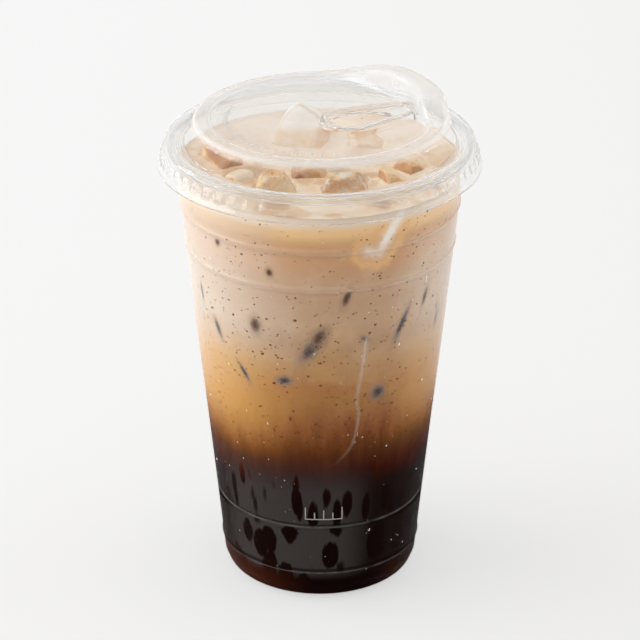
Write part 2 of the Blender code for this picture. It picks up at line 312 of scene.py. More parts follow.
class NodeGraph:
    """Ways to add to a node tree, where every colour is three numbers without an alpha."""

    tree: bpy.types.NodeTree

    def node(self, kind: str, settings: Mapping[str, object], sockets: Mapping[Key, Value],
             output: Key = 0) -> Signal:
        """Add any node: its settings first, then the values and links of its sockets.

        Args:
            kind: the node's type.
            settings: properties by name; "stops" gives a ramp's (position, colour) pairs.
            sockets: input number or name to value or signal.
            output: which output to return.

        Returns:
            The chosen output.
        """
        made = self.tree.nodes.new(kind)
        for name, setting in settings.items():
            if name == "stops":
                self._set_stops(made.color_ramp, setting)
            else:
                setattr(made, name, setting)
        for key, value in sockets.items():
            socket = made.inputs[key]
            if isinstance(value, Signal):
                self.tree.links.new(value.socket, socket)
            else:
                socket.default_value = (*value, 1.0) if socket.type == "RGBA" else value
        return Signal(self, made.outputs[output] if made.outputs else None)

    @staticmethod
    def _set_stops(ramp: bpy.types.ColorRamp, stops: Stops) -> None:
        """Give a colour ramp these stops, in rising order.

        Args:
            ramp: a new ramp, which has two stops.
            stops: (position, colour) pairs.
        """
        for _ in range(len(stops) - 2):
            ramp.elements.new(0.5)
        for element, (position, colour) in zip(ramp.elements, stops):
            element.position = position
            element.color = (*colour, 1.0)

    @cached_property
    def place(self) -> Signal:
        """Where the shaded point is, in Object coordinates."""
        return self.node("ShaderNodeTexCoord", {}, {}, "Object")

    @cached_property
    def xyz(self) -> tuple[Signal, Signal, Signal]:
        """The place's three numbers, in metres."""
        return self.axis("X"), self.axis("Y"), self.axis("Z")

    @cached_property
    def height(self) -> Signal:
        """Millimetres over the table."""
        return self.axis("Z") * (1.0 / MM)

    @cached_property
    def azimuth(self) -> Signal:
        """Degrees round the Z axis, from -180 to 180."""
        return self.axis("Y").math("ARCTAN2", self.axis("X")) * (180.0 / math.pi)

    @cached_property
    def radius(self) -> Signal:
        """Millimetres from the Z axis."""
        x, y, _ = self.xyz
        return (x * x + y * y) ** 0.5 * (1.0 / MM)

    @cached_property
    def turned_away(self) -> Signal:
        """The square of Facing: 0 where the surface faces the eye, 1 where it turns away."""
        facing = self.node("ShaderNodeLayerWeight", {}, {"Blend": 0.5}, "Facing")
        return facing * facing

    def axis(self, name: str, vector: Optional[Signal] = None) -> Signal:
        """The X, Y or Z part of a vector, or of the place."""
        return self.node("ShaderNodeSeparateXYZ", {}, {0: vector or self.place}, name)

    def turn_from(self, centre: float) -> Signal:
        """Degrees between the azimuth and a centre, the short way round, from 0 to 180."""
        return (self.azimuth - centre).math("WRAP", 180.0, -180.0).math("ABSOLUTE")

    def math(self, operation: str, *values: Value) -> Signal:
        """A Math node of these values."""
        return self.node("ShaderNodeMath", {"operation": operation}, dict(enumerate(values)))

    def attribute(self, name: str) -> Signal:
        """The number stored on the mesh under this name."""
        return self.node("ShaderNodeAttribute", {"attribute_name": name}, {}, "Fac")

    def stretched(self, *scale: float) -> Signal:
        """The place times a scale for each axis."""
        return self.node("ShaderNodeMapping", {}, {"Vector": self.place, "Scale": scale})

    def joined(self, x: Value, y: Value, z: Value = 0.0) -> Signal:
        """A vector of three numbers."""
        return self.node("ShaderNodeCombineXYZ", {}, {0: x, 1: y, 2: z})

    def noise(self, scale: float, detail: float = 3.0, roughness: float = 0.5,
              at: Optional[Signal] = None) -> Signal:
        """Cloudy noise from 0 to 1 at a scale in cycles per metre."""
        sockets = {"Vector": at or self.place, "Scale": scale, "Detail": detail, "Roughness": roughness}
        return self.node("ShaderNodeTexNoise", {}, sockets)

    def cells(self, vector: Signal, scale: float = 1.0, feature: str = "F1", randomness: float = 1.0,
              output: Key = 0) -> Signal:
        """Distance, or another output, of a Voronoi pattern at a scale in cells per metre."""
        sockets = {"Vector": vector, "Scale": scale, "Randomness": randomness}
        return self.node("ShaderNodeTexVoronoi", {"feature": feature}, sockets, output)

    def ramp(self, value: Signal, stops: Stops) -> Signal:
        """A colour ramp of a number from 0 to 1."""
        return self.node("ShaderNodeValToRGB", {"stops": stops}, {0: value})

    def tint(self, share: Value, under: Value, over: Value, mode: str = "MIX") -> Signal:
        """Colour under, mixed with colour over by a share."""
        settings = {"data_type": "RGBA", "blend_type": mode}
        return self.node("ShaderNodeMix", settings, {0: share, 6: under, 7: over}, 2)

    def coats(self, base: Value, *coats: tuple[Value, Value]) -> Signal:
        """A colour under coats of (share, colour), laid on one after the other."""
        return reduce(lambda under, coat: self.tint(coat[0], under, coat[1]), coats, base)

    def bump(self, height: Signal, distance: float) -> Signal:
        """A normal from a relief whose full height is distance metres."""
        return self.node("ShaderNodeBump", {}, {"Height": height, "Distance": distance, "Strength": 1.0})

    def principled(self, colour: Value, roughness: Value, **sockets: Value) -> Signal:
        """A Principled shader; other sockets are named with underscores for spaces."""
        named = {"Base_Color": colour, "Roughness": roughness, **sockets}.items()
        return self.node("ShaderNodeBsdfPrincipled", {}, {name.replace("_", " "): v for name, v in named})

    def mix_shader(self, share: Value, under: Signal, over: Signal) -> Signal:
        """Shader under, mixed with shader over by a share."""
        return self.node("ShaderNodeMixShader", {}, {0: share, 1: under, 2: over})

    def transparent(self, colour: Triple) -> Signal:
        """A shader that light crosses straight on."""
        return self.node("ShaderNodeBsdfTransparent", {}, {"Color": colour})

    def open_to_light(self, shader: Signal, tint: Triple) -> Signal:
        """A clear shader that lets shadow rays and bounced light straight through.

        Args:
            shader: what the eye and the reflections see.
            tint: colour of the light that passes.

        Returns:
            The shader with the two pass-throughs.
        """
        clear = self.transparent(tint)
        for ray in ("Is Shadow Ray", "Is Diffuse Ray"):
            shader = self.mix_shader(self.node("ShaderNodeLightPath", {}, {}, ray), shader, clear)
        return shader


# ---------------------------------------------------------------- finishes

@dataclass(frozen=True)
class Finish(NodeGraph):
    """A material whose shader is worked out in nodes."""

    name: str

    @cached_property
    def material(self) -> bpy.types.Material:
        """The new material, with an empty tree.

        Returns:
            The material.
        """
        material = bpy.data.materials.new(self.name)
        material.use_nodes = True
        material.node_tree.nodes.clear()
        return material

    @property
    def tree(self) -> bpy.types.NodeTree:
        """The material's tree."""
        return self.material.node_tree

    def shader(self) -> Signal:
        """The shader that the surface shows."""
        raise NotImplementedError

    def make(self) -> bpy.types.Material:
        """Send the shader to the material's output, and give the material."""
        self.node("ShaderNodeOutputMaterial", {}, {"Surface": self.shader()})
        return self.material


@dataclass(frozen=True)
class ClearPlastic(Finish):
    """Thermoformed clear sheet: faint waviness and a faint milk, with more white where it turns away from
    the eye, a painted sheen for its glancing reflection.
    """

    ior: float
    waviness: float
    face_on: float
    edge_on: float
    clear: Triple = (0.985, 0.989, 0.989)
    milky: Triple = (0.93011, 0.93011, 0.92158)
    milk_passed_on: float = 0.45

    @cached_property
    def haze(self) -> Signal:
        """How uneven the sheet's milk is."""
        return self.noise(60.0, 2.0)

    def sheet(self) -> Signal:
        """The clear sheet itself.

        Returns:
            Its shader.
        """
        waves = self.noise(90.0, 2.0, at=self.stretched(1.0, 1.0, 0.35))
        scuffs = self.noise(1400.0, 2.0, 0.6)
        return self.principled(
            self.tint(self.haze * 0.25, self.clear, (0.85499, 0.88792, 0.89627)),
            0.015 + 0.03 * self.haze * scuffs,
            Transmission_Weight=1.0, IOR=self.ior, Normal=self.bump(waves, self.waviness),
        )

    def milk_and_sheen_share(self) -> Signal:
        """Share of milk and painted sheen from its two ends, face on and edge on, with a little by place;
        the edge-on part is painted sheen.
        """
        return self.face_on + (self.edge_on - self.face_on) * self.turned_away + self.noise(40.0, 2.0) * 0.02

    def shader(self) -> Signal:
        """The sheet under its milk and painted sheen, a white layer which scatters part of the light back
        and part of it on.

        Returns:
            The shader, open to light.
        """
        back, onward = (self.node(f"ShaderNodeBsdf{kind}", {}, {"Color": self.milky})
                        for kind in ("Diffuse", "Translucent"))
        # share of the white layer: a faint real milk, and painted sheen where the sheet turns away
        share = self.milk_and_sheen_share() * (0.8 + 0.4 * self.haze)
        milk = self.mix_shader(self.milk_passed_on, back, onward)
        return self.open_to_light(self.mix_shader(share, self.sheet(), milk), (0.965, 0.965, 0.965))


@dataclass(frozen=True)
class CupPlastic(ClearPlastic):
    """The cup's sheet: wet with coffee low down, where it shows no more than a faint painted sheen at its
    turned-away edge.

    Light also goes straight on through the rolled rim, which is pressed into the lid's bead.
    """

    rim: Span = (149.6, 150.3)
    rim_straight_on: float = 0.85
    wet_below: Span = (56.0, 96.0)
    wet_edge_sheen: float = 0.15

    @cached_property
    def dry(self) -> Signal:
        """0 on the wet part and 1 over it."""
        return self.height.step(*self.wet_below)

    def sheet(self) -> Signal:
        """The sheet where it is dry, and straight on where it is wet or rolled up."""
        shown = self.dry * (1.0 - self.rim_straight_on * self.height.step(*self.rim))
        return self.mix_shader(shown, self.transparent(self.clear), super().sheet())

    def milk_and_sheen_share(self) -> Signal:
        """Share of milk and painted sheen of the dry sheet, and of the painted sheen at the wet sheet's
        faint edge.

        Returns:
            The share.
        """
        edge = self.turned_away
        dry = self.face_on + (self.edge_on - self.face_on) * edge
        # the wet sheet's share is only painted sheen, at its turned-away edge
        return self.dry * dry + (1.0 - self.dry) * (edge * edge * self.wet_edge_sheen)


@dataclass(frozen=True)
class LidPlastic(ClearPlastic):
    """The lid's sheet: milkier on its ring, its raised lip and its spout, with painted highlights on the
    ring's two crests and on a panel inside the spout.
    """

    ring_share: float = 0.08
    crest_highlight: float = 0.65
    panel_highlight: float = 0.35
    raised_share: float = 0.16
    dome_clearness: float = 0.75

    @cached_property
    def dome(self) -> Signal:
        """1 on the dome's wall, between the trough and the ring."""
        return (self.height.step(151.5, 152.5) * self.height.drop(157.0, 159.2)
                * self.radius.drop(45.0, 46.0))

    def sheet(self) -> Signal:
        """The clear sheet; light goes straight on through the dome's thin wall."""
        return self.mix_shader(self.dome, super().sheet(), self.transparent(self.clear))

    def milk_and_sheen_share(self) -> Signal:
        """Share of milk and painted light: less painted sheen at the dome's edge, more milk on the ring and
        what is raised over it, and painted highlights on the ring's crests and a panel inside the spout.

        Returns:
            The share.
        """
        height, radius, azimuth = self.height, self.radius, self.azimuth
        # painted sheen where the sheet turns away, less on the dome's thin wall
        edge = self.edge_on * (1.0 - self.dome_clearness * self.dome) - self.face_on
        ring = radius.hump(38.2, 3.0) * height.step(155.0, 159.5)
        # painted highlight lines along the ring's two crests
        lit_crests = (radius.hump(36.2, 0.6) + radius.hump(40.2, 0.5)) * height.step(158.0, 159.8)
        # painted highlight on a panel of the spout's inner wall
        lit_panel = azimuth.step(39.0, 41.0) * azimuth.drop(56.0, 66.0) * height.step(160.2, 161.2)
        return (self.face_on + edge * self.turned_away
                + ring * self.ring_share
                + height.step(160.0, 164.0) * self.raised_share
                + lit_crests * height.drop(161.0, 162.0) * self.crest_highlight
                + lit_panel * radius.drop(32.5, 34.0) * self.panel_highlight)


class DrinkFace(Enum):
    """Which face of the drink a finish is for."""

    WALL = "against_the_wall"
    SURFACE = "open_surface"


@dataclass(frozen=True)
class DrinkFinish(Finish):
    """Horchata over cold brew: colours by height, soft clouds, drawn-out wisps and fine grain.

    Heights and radii are in millimetres and azimuths in degrees. The stream is the milk's path down
    the wall, and the stops are the layers' colours by height.
    """

    face: DrinkFace
    fill_height: float
    head_edge: float = 140.0
    mm_per_degree: float = 0.79
    high_rings: Span = (132.2, 118.8)
    low_rings: Span = (28.7, 10.9)
    reflection_radius: float = 37.0
    lit_side: float = -160.0
    far_side: float = -25.0
    stream: tuple[Span, ...] = ((-55.4, 145.5), (-62.0, 135.6), (-66.0, 130.8), (-70.5, 131.6))
    stops: tuple[tuple[float, Triple], ...] = (
        (0.0, (0.006, 0.002, 0.0015)), (38.0, (0.008, 0.003, 0.002)), (44.0, (0.011, 0.004, 0.003)),
        (49.0, (0.0379, 0.00571, 0.0025)), (54.0, (0.0719, 0.0176, 0.00791)),
        (58.5, (0.0961, 0.0302, 0.0106)), (63.0, (0.161, 0.0478, 0.0133)), (67.5, (0.25, 0.0837, 0.0284)),
        (72.0, (0.328, 0.128, 0.0403)), (77.0, (0.38, 0.169, 0.046)), (82.0, (0.405, 0.167, 0.0491)),
        (87.0, (0.431, 0.211, 0.0752)), (93.0, (0.475, 0.255, 0.106)), (99.0, (0.451, 0.259, 0.139)),
        (106.0, (0.538, 0.34, 0.199)), (114.0, (0.526, 0.321, 0.187)), (121.0, (0.556, 0.33, 0.186)),
        (128.0, (0.594, 0.308, 0.146)), (135.0, (0.546, 0.293, 0.135)), (140.0, (0.68, 0.445, 0.247)),
        (143.5, (0.92, 0.66, 0.451)),
    )

    @cached_property
    def aside(self) -> Signal:
        """Degrees from the middle of the lit side."""
        return self.turn_from(self.lit_side)

    @cached_property
    def right(self) -> Signal:
        """1 on the far right side, which is lit a little too."""
        return self.turn_from(self.far_side).drop(12.0, 36.0)

    @cached_property
    def drift(self) -> Signal:
        """How far the layers' borders wander up and down."""
        return self.noise(34.0, 2.0) - 0.5

    def layers(self) -> Signal:
        """Colour by height, with borders that drift, wisps of milk that sink, and painted light on two lit
        sides, where the paler layers also reach lower.

        Returns:
            The colour.
        """
        height = self.height
        wisps = self.noise(260.0, 4.0, 0.6, at=self.stretched(1.0, 1.0, 0.22)) - 0.5
        # painted light: the paler layers reach lower on the two lit sides
        lower_on_lit_sides = 7.5 * self.aside.drop(20.0, 64.0) + self.right * 2.8
        shifted = height + height.hump(64.0, 25.0) * (self.drift * 11.0 + wisps * 13.0 + lower_on_lit_sides)
        fill = self.fill_height / MM
        base = self.ramp(shifted / fill, [(low / fill, colour) for low, colour in self.stops])
        lit = (self.aside.drop(14.0, 72.0) + self.right * 0.5) * height.step(50.0, 76.0)
        bright = self.tint(height.step(84.0, 104.0), (0.92, 0.50, 0.11), (0.97, 0.89, 0.78))
        return self.tint(lit * 0.42, base, bright)

    def clouded(self, base: Signal) -> Signal:
        """Soft milky clouds, amber patches and fine level lines over a colour.

        Args:
            base: the colour under them.

        Returns:
            The colour.
        """
        height = self.height
        milky = self.noise(70.0, 3.0, 0.6).step(0.45, 0.75) * height.step(70.0, 110.0) * 0.36
        amber = self.noise(85.0, 2.0, at=self.stretched(1.0, 1.0, 1.6)).step(0.5, 0.72)
        amber = amber * height.hump(92.0, 16.0) * 0.42
        warm = self.coats(base, (milky, (0.72, 0.55, 0.40)), (amber, (0.60, 0.33, 0.115)))
        lines = self.noise(240.0, 3.0, 0.6, at=self.stretched(0.5, 0.5, 4.0)) - 0.5
        return self.tint(0.5 + lines * height.hump(72.0, 14.0) * 0.5, warm, GREY, "OVERLAY")

    def from_stream(self) -> Signal:
        """Millimetres from the stream of milk, on the unrolled wall.

        The nearest point of each straight part is its start plus the clamped projection on it.

        Returns:
            The smallest distance, with the joints rounded.
        """
        nearest = None
        around = self.azimuth * self.mm_per_degree
        for (first, low), (last, high) in zip(self.stream, self.stream[1:]):
            run, rise = (last - first) * self.mm_per_degree, high - low
            x, y = around - first * self.mm_per_degree, self.height - low
            share = (x * run + y * rise) / (run * run + rise * rise)
            share = share.math("MAXIMUM", 0.0).math("MINIMUM", 1.0)
            x, y = x - share * run, y - share * rise
            distance = (x * x + y * y) ** 0.5
            nearest = nearest.math("SMOOTH_MIN", distance, 1.2) if nearest else distance
        return nearest

    def headed(self, base: Signal) -> Signal:
        """A darker orange band and a painted golden glow under a paler head, both fainter on the lit side,
        cut by a stream of milk with an amber outline.

        Args:
            base: the colour under them.

        Returns:
            The colour.
        """
        height = self.height
        below = self.head_edge + self.drift * 2.0 - height
        side = 0.30 + 0.70 * self.aside.step(44.0, 62.0)
        swirl = self.noise(0.35, 3.0, 0.6, at=self.joined(self.azimuth, height * 1.3)) - 0.5
        away = self.from_stream() + swirl * 3.2
        outline = away.hump(4.4, 1.6) * height.drop(138.5, 141.5)
        milk = away.drop(0.3, 2.3) * (0.40 + 0.60 * height.step(130.0, 136.0) + swirl * 0.6)
        return self.coats(
            base,
            # a darker orange band a few millimetres under the head
            (below.hump(5.2, 3.2) * side * 0.75, (0.66, 0.35, 0.155)),
            # painted glow: a bright golden rim just under the head's edge, where light shines through the
            # drink
            (below.hump(0.8, 3.0) * side * 0.9, (0.92, 0.585, 0.27)),
            ((0.0 - below).step(-1.0, 1.5) * 0.35, (0.95, 0.86, 0.76)),
            (outline * 0.85, (0.84, 0.47, 0.20)),
            (away.drop(1.8, 3.8) * 0.40, (0.92, 0.69, 0.49)),
            (milk, (0.97, 0.87, 0.77)),
        )

    def floor_reflection(self) -> Signal:
        """Where a painted reflection of the pale floor lies on the wall over the coffee, laid out like mist:
        all but the runs and drops that have cleared.

        Two Voronoi patterns on the unrolled wall, one of tall runs over one of rounder drops.

        Returns:
            Its share.
        """
        height = self.height
        around = self.azimuth * math.radians(self.reflection_radius)
        runs = self.cells(self.joined(around / 4.5, height / 16.0 + 0.1), randomness=0.8)
        drops = self.cells(self.joined(around / 7.2, height / 12.5 + 0.4, 3.0))
        low = height.drop(26.0, 31.0)
        fine = self.noise(1.0, 3.0, 0.6, at=self.joined(around / 2.2, height / 14.0)) - 0.5
        distance = runs + (drops - runs) * low + height.step(41.0, 50.0) * 0.25 + 0.02
        reflecting = (distance + fine * 0.30 - low * 0.08).step(0.36, 0.47)
        # the painted reflection is strongest where the wall faces the front and a little to the left
        facing = ((self.azimuth + 108.0) * math.radians(1.0)).math("COSINE")
        share = 0.06 + 0.94 * facing.step(0.64, 0.92)
        return reflecting * share * height.step(7.0, 12.0) * height.drop(40.0, 58.0)

    def lined(self, base: Signal) -> Signal:
        """The wall's rings seen against the drink: shade under each, light caught on the low ones.

        Args:
            base: the colour under them.

        Returns:
            The colour.
        """
        height = self.height
        broken = self.noise(0.09, 3.0, 0.6, at=self.joined(self.azimuth, 0.0)).step(0.30, 0.62)
        lines: list[tuple[Value, Value]] = []
        for ring in self.high_rings:
            lines += [
                (height.hump(ring - 1.1, 0.8) * 0.16, (0.20, 0.10, 0.05)),
                (height.hump(ring + 0.7, 0.7) * 0.14, (0.90, 0.78, 0.64)),
            ]
        for ring in self.low_rings:
            lines += [
                (height.hump(ring + 0.7, 0.5) * 0.8, (0.006, 0.003, 0.002)),
                (height.hump(ring - 0.3, 0.24) * (0.08 + 0.62 * broken), (0.17, 0.16, 0.157)),
            ]
        return self.coats(base, *lines)

    def wall_colour(self) -> Signal:
        """The layers, their head, the light at the foot, the painted reflection low down and the rings'
        lines.

        Returns:
            The colour.
        """
        glow = self.height.drop(4.0, 16.0) * (self.aside.drop(24.0, 70.0) + self.right * 0.4)
        rooted = self.tint(glow * 0.8, self.headed(self.clouded(self.layers())), (0.055, 0.012, 0.005))
        # painted reflection of the pale floor: greyish over the dark coffee
        return self.lined(self.tint(self.floor_reflection() * 0.85, rooted, (0.055, 0.045, 0.042)))

    def surface_colour(self) -> Signal:
        """Pale top with marbled milk over facets of sunken ice, deeper round the blocks, with painted
        highlights on the facets' edges in front and a painted veil that pales it towards the back.

        Returns:
            The colour.
        """
        x, y, _ = self.xyz
        marble = self.noise(110.0, 4.0, 0.6)
        warp = self.noise(200.0, 3.0, 0.6) * 0.006
        bent = self.joined(x + warp, y - warp)
        facet = self.ramp(self.axis("X", self.cells(bent, 125.0, "SMOOTH_F1", output="Color")), [
            (0.15, (0.90, 0.75, 0.58)), (0.42, (0.82, 0.58, 0.37)), (0.62, (0.66, 0.38, 0.17)),
            (0.85, (0.40, 0.20, 0.09)),
        ])
        front = y.drop(-9.0 * MM, 4.0 * MM)
        ridge = self.cells(bent, 125.0, "DISTANCE_TO_EDGE").drop(0.0, 0.07)
        pale = self.tint(marble.step(0.35, 0.7), (0.72, 0.49, 0.31), (0.87, 0.68, 0.49))
        # painted veil: paler towards the back
        hazed = self.tint(y.step(4.0 * MM, 34.0 * MM) * 0.6, pale, (0.93, 0.85, 0.76))
        faceted = self.tint(0.10 + 0.62 * front, hazed, facet)
        # painted highlights along the facets' edges, in front
        edge_highlighted = self.tint(ridge * front * 0.5 * marble.step(0.35, 0.6), faceted, (0.95, 0.88, 0.78))
        under = self.tint(self.noise(420.0, 3.0, 0.6), (0.50, 0.25, 0.09), (0.74, 0.46, 0.21))
        return self.tint(self.attribute("ice_pit").step(0.02, 0.55), edge_highlighted, under)

    def shader(self) -> Signal:
        """Grain over this face's colour; only the open surface has a sheen.

        Returns:
            The shader.
        """
        if self.face is DrinkFace.WALL:
            colour, sheen, relief = self.wall_colour(), 0.0, self.noise(300.0, 2.0) * 0.2
        else:
            colour, sheen, relief = self.surface_colour(), 0.5, self.noise(160.0)
        grain = self.noise(1100.0, 2.0, 0.6)
        return self.principled(
            self.tint(0.5 + (grain - 0.5) * 0.16, colour, GREY, "OVERLAY"), 0.16 + 0.15 * grain,
            Specular_IOR_Level=sheen, IOR=1.34, Normal=self.bump(relief, 0.15 * MM),
        )


@dataclass(frozen=True)
class IceFinish(Finish):
    """Melting ice: glassy, with a film of coffee and milk whose tone differs from face to face."""

    film: float
    frost: float
    crackle: float

    def film_colour(self, cloud: Signal) -> Signal:
        """Tone of the film from the faces' own share of coffee, speckled, with painted highlights along the
        ridges.

        Args:
            cloud: the block's cloudiness.

        Returns:
            The colour.
        """
        tone = self.attribute("tone")
        mottle = self.noise(420.0, 3.0, 0.6) - 0.5
        colour = self.ramp(tone + (cloud - 0.5) * 0.5 + mottle * 0.5, [
            (0.0, (0.97, 0.84, 0.66)), (0.25, (0.94, 0.66, 0.35)), (0.5, (0.82, 0.42, 0.105)),
            (0.75, (0.56, 0.23, 0.05)), (1.0, (0.28, 0.095, 0.025)),
        ])
        grit = self.noise(1300.0, 2.0, 0.6).step(0.58, 0.66) * (tone.step(0.1, 0.45) + self.crackle)
        gritty = self.tint(grit * 0.65, colour, (0.34, 0.15, 0.045))
        # painted highlight: paler along the ridges where faces meet
        return self.tint(self.attribute("ridge") * 0.22, gritty, (0.96, 0.91, 0.84))

    def shader(self) -> Signal:
        """Clear ice with cracks, mixed with its film, which whitens where it is frosted or cracked.

        Returns:
            The shader, open to light.
        """
        ridge = self.attribute("ridge")
        cloud = self.noise(150.0, 4.0, 0.6)
        pits = self.noise(700.0, 3.0, 0.6)
        bend = (pits - 0.5) * 0.004
        x, y, z = self.xyz
        bent = self.joined(x + bend, y - bend, z + bend)
        cracks = self.cells(bent, 520.0, "DISTANCE_TO_EDGE").drop(0.0, 0.10)
        relief = self.bump(cloud + pits * 0.45 + cracks * self.crackle * 0.5, 0.45 * MM)
        clear = self.principled(
            self.tint(cloud, (1.0, 0.985, 0.96), (0.99, 0.95, 0.90)), 0.02 + 0.05 * pits,
            Transmission_Weight=1.0, IOR=1.31, Normal=relief,
        )
        frosted = self.height.step(146.5, 150.0) * (1.0 - ridge) * self.frost
        patches = self.noise(330.0, 3.0, 0.6).step(0.48, 0.62) * self.crackle * 0.75
        white = (cracks * self.crackle * 0.5 + frosted) * (0.5 + 0.9 * cloud) + patches
        stain = self.height.step(149.5, 152.0) * ridge * pits
        stained = self.tint(stain, self.film_colour(cloud), (0.52, 0.30, 0.19))
        filmed = self.principled(
            self.tint(white, stained, (0.97, 0.955, 0.93)), 0.06 + 0.12 * pits, IOR=1.31, Normal=relief,
        )
        share = (self.film + (cloud - 0.5) * 0.6 + frosted * 0.3).math("MINIMUM", 0.97)
        return self.open_to_light(self.mix_shader(share, clear, filmed), (0.93, 0.90, 0.86))


@dataclass(frozen=True)
class PatchFinish(Finish):
    """A matt, partly clear finish over a UV map that runs across and along each patch."""

    def patch(self) -> tuple[Signal, Signal]:
        """How far across and along the patch a point is, from 0 to 1."""
        uv = self.node("ShaderNodeUVMap", {"uv_map": "patch"}, {})
        return self.axis("X", uv), self.axis("Y", uv)

    def matt(self, colour: Signal, roughness: Signal, alpha: Signal) -> Signal:
        """A matt shader whose alpha is also scaled by the patch's strength."""
        alpha = alpha * self.attribute("strength")
        return self.principled(colour, roughness, Specular_IOR_Level=0.0, Alpha=alpha)


@dataclass(frozen=True)
class WallShadowFinish(PatchFinish):
    """Where sunken ice presses on the wall: dark coffee at the core, a bluish-grey milky edge."""

    name: str = "ice_pressed_to_the_wall"

    def shader(self) -> Signal:
        """Core and halo by the distance from the patch's middle; its warmth sets their colours.

        Returns:
            The shader.
        """
        across, along = (side - 0.5 for side in self.patch())
        ragged = self.noise(520.0, 3.0, 0.6) - 0.5
        reach = (across * across + along * along) ** 0.5 * 2.0 + ragged * 0.30
        core = reach.drop(0.10, 0.58)
        warm = self.attribute("warmth")
        dark = self.tint(warm, (0.045, 0.034, 0.036), (0.10, 0.034, 0.012))
        grey = self.tint(warm, (0.30, 0.26, 0.24), (0.50, 0.33, 0.20))
        alpha = reach.drop(0.25, 1.0) * 0.36 + core * 0.85
        return self.matt(self.tint(core, grey, dark), 0.3 + 0.2 * ragged, alpha)


@dataclass(frozen=True)
class MilkTrailFinish(PatchFinish):
    """A thin pale run of milk: strongest along its middle, broken up by noise."""

    name: str = "milk_trail"

    def shader(self) -> Signal:
        """Milk that thins out to the sides and towards the end.

        Returns:
            The shader.
        """
        across, along = self.patch()
        broken = self.noise(380.0, 3.0, 0.6)
        ends = along.step(0.0, 0.06) * (1.0 - 0.5 * along.step(0.15, 0.4)) * along.drop(0.55, 0.98)
        colour = self.tint(broken, (0.86, 0.72, 0.56), (0.93, 0.86, 0.76))
        return self.matt(colour, 0.3 + 0.2 * broken, across.hump(0.5, 0.22) * ends * (0.55 + 0.6 * broken))


@dataclass(frozen=True)
class CinnamonFinish(Finish):
    """Wet cinnamon flakes, from dark bark to orange dust, mottled."""

    name: str = "cinnamon"

    def shader(self) -> Signal:
        """Each flake's own shade of bark under a fine mottle.

        Returns:
            The shader.
        """
        mottle = self.noise(3000.0, 2.0, 0.7)
        bark = self.tint(self.attribute("shade"), (0.095, 0.034, 0.012), (0.42, 0.17, 0.045))
        return self.principled(
            self.tint(mottle * 0.25, bark, (0.30, 0.13, 0.05)), 0.45 + 0.3 * mottle,
            Specular_IOR_Level=0.0, Normal=self.bump(mottle, 0.05 * MM),
        )


@dataclass(frozen=True)
class WaterFinish(Finish):
    """Clear water with faint ripples."""

    name: str = "beaded_water"
    ripple: float = 0.02 * MM

    def shader(self) -> Signal:
        """Water, open to light.

        Returns:
            The shader.
        """
        ripples = self.noise(900.0, 2.0)
        water = self.principled(
            self.tint(ripples * 0.2, (1.0, 1.0, 1.0), (0.95, 0.97, 0.98)), 0.02 + 0.02 * ripples,
            Transmission_Weight=1.0, IOR=1.33, Normal=self.bump(ripples, self.ripple),
        )
        return self.open_to_light(water, (0.97, 0.97, 0.97))


@dataclass(frozen=True)
class PrintFinish(Finish):
    """Pale grey ink, thin enough to be uneven."""

    name: str = "pale_print"

    def shader(self) -> Signal:
        """Patchy ink.

        Returns:
            The shader.
        """
        patchy = self.noise(1500.0, 3.0, 0.6)
        colour = self.tint(patchy, (0.36, 0.345, 0.34), (0.48, 0.465, 0.46))
        return self.principled(colour, 0.5 + 0.2 * patchy, Alpha=0.55 + 0.3 * patchy)


@dataclass(frozen=True)
class FloorFinish(Finish):
    """Plain matt white studio floor that glows a little, so that shadows on it stay pale."""

    name: str = "studio_floor"
    shade: Triple = (0.31, 0.31, 0.31)
    glow: float = 0.575

    def shader(self) -> Signal:
        """A faintly uneven white, dimmer to the right.

        Returns:
            The shader.
        """
        x, _, _ = self.xyz
        return self.principled(
            self.tint(self.noise(3.0, 2.0) * 0.3, self.shade, (0.3069, 0.3069, 0.30535)), 0.85,
            Specular_IOR_Level=0.0, Emission_Strength=self.glow,
            Emission_Color=self.tint(x.step(-0.15, 0.25), (1.0, 1.0, 1.0), (0.96, 0.955, 0.95)),
        )


# ---------------------------------------------------------------- cup

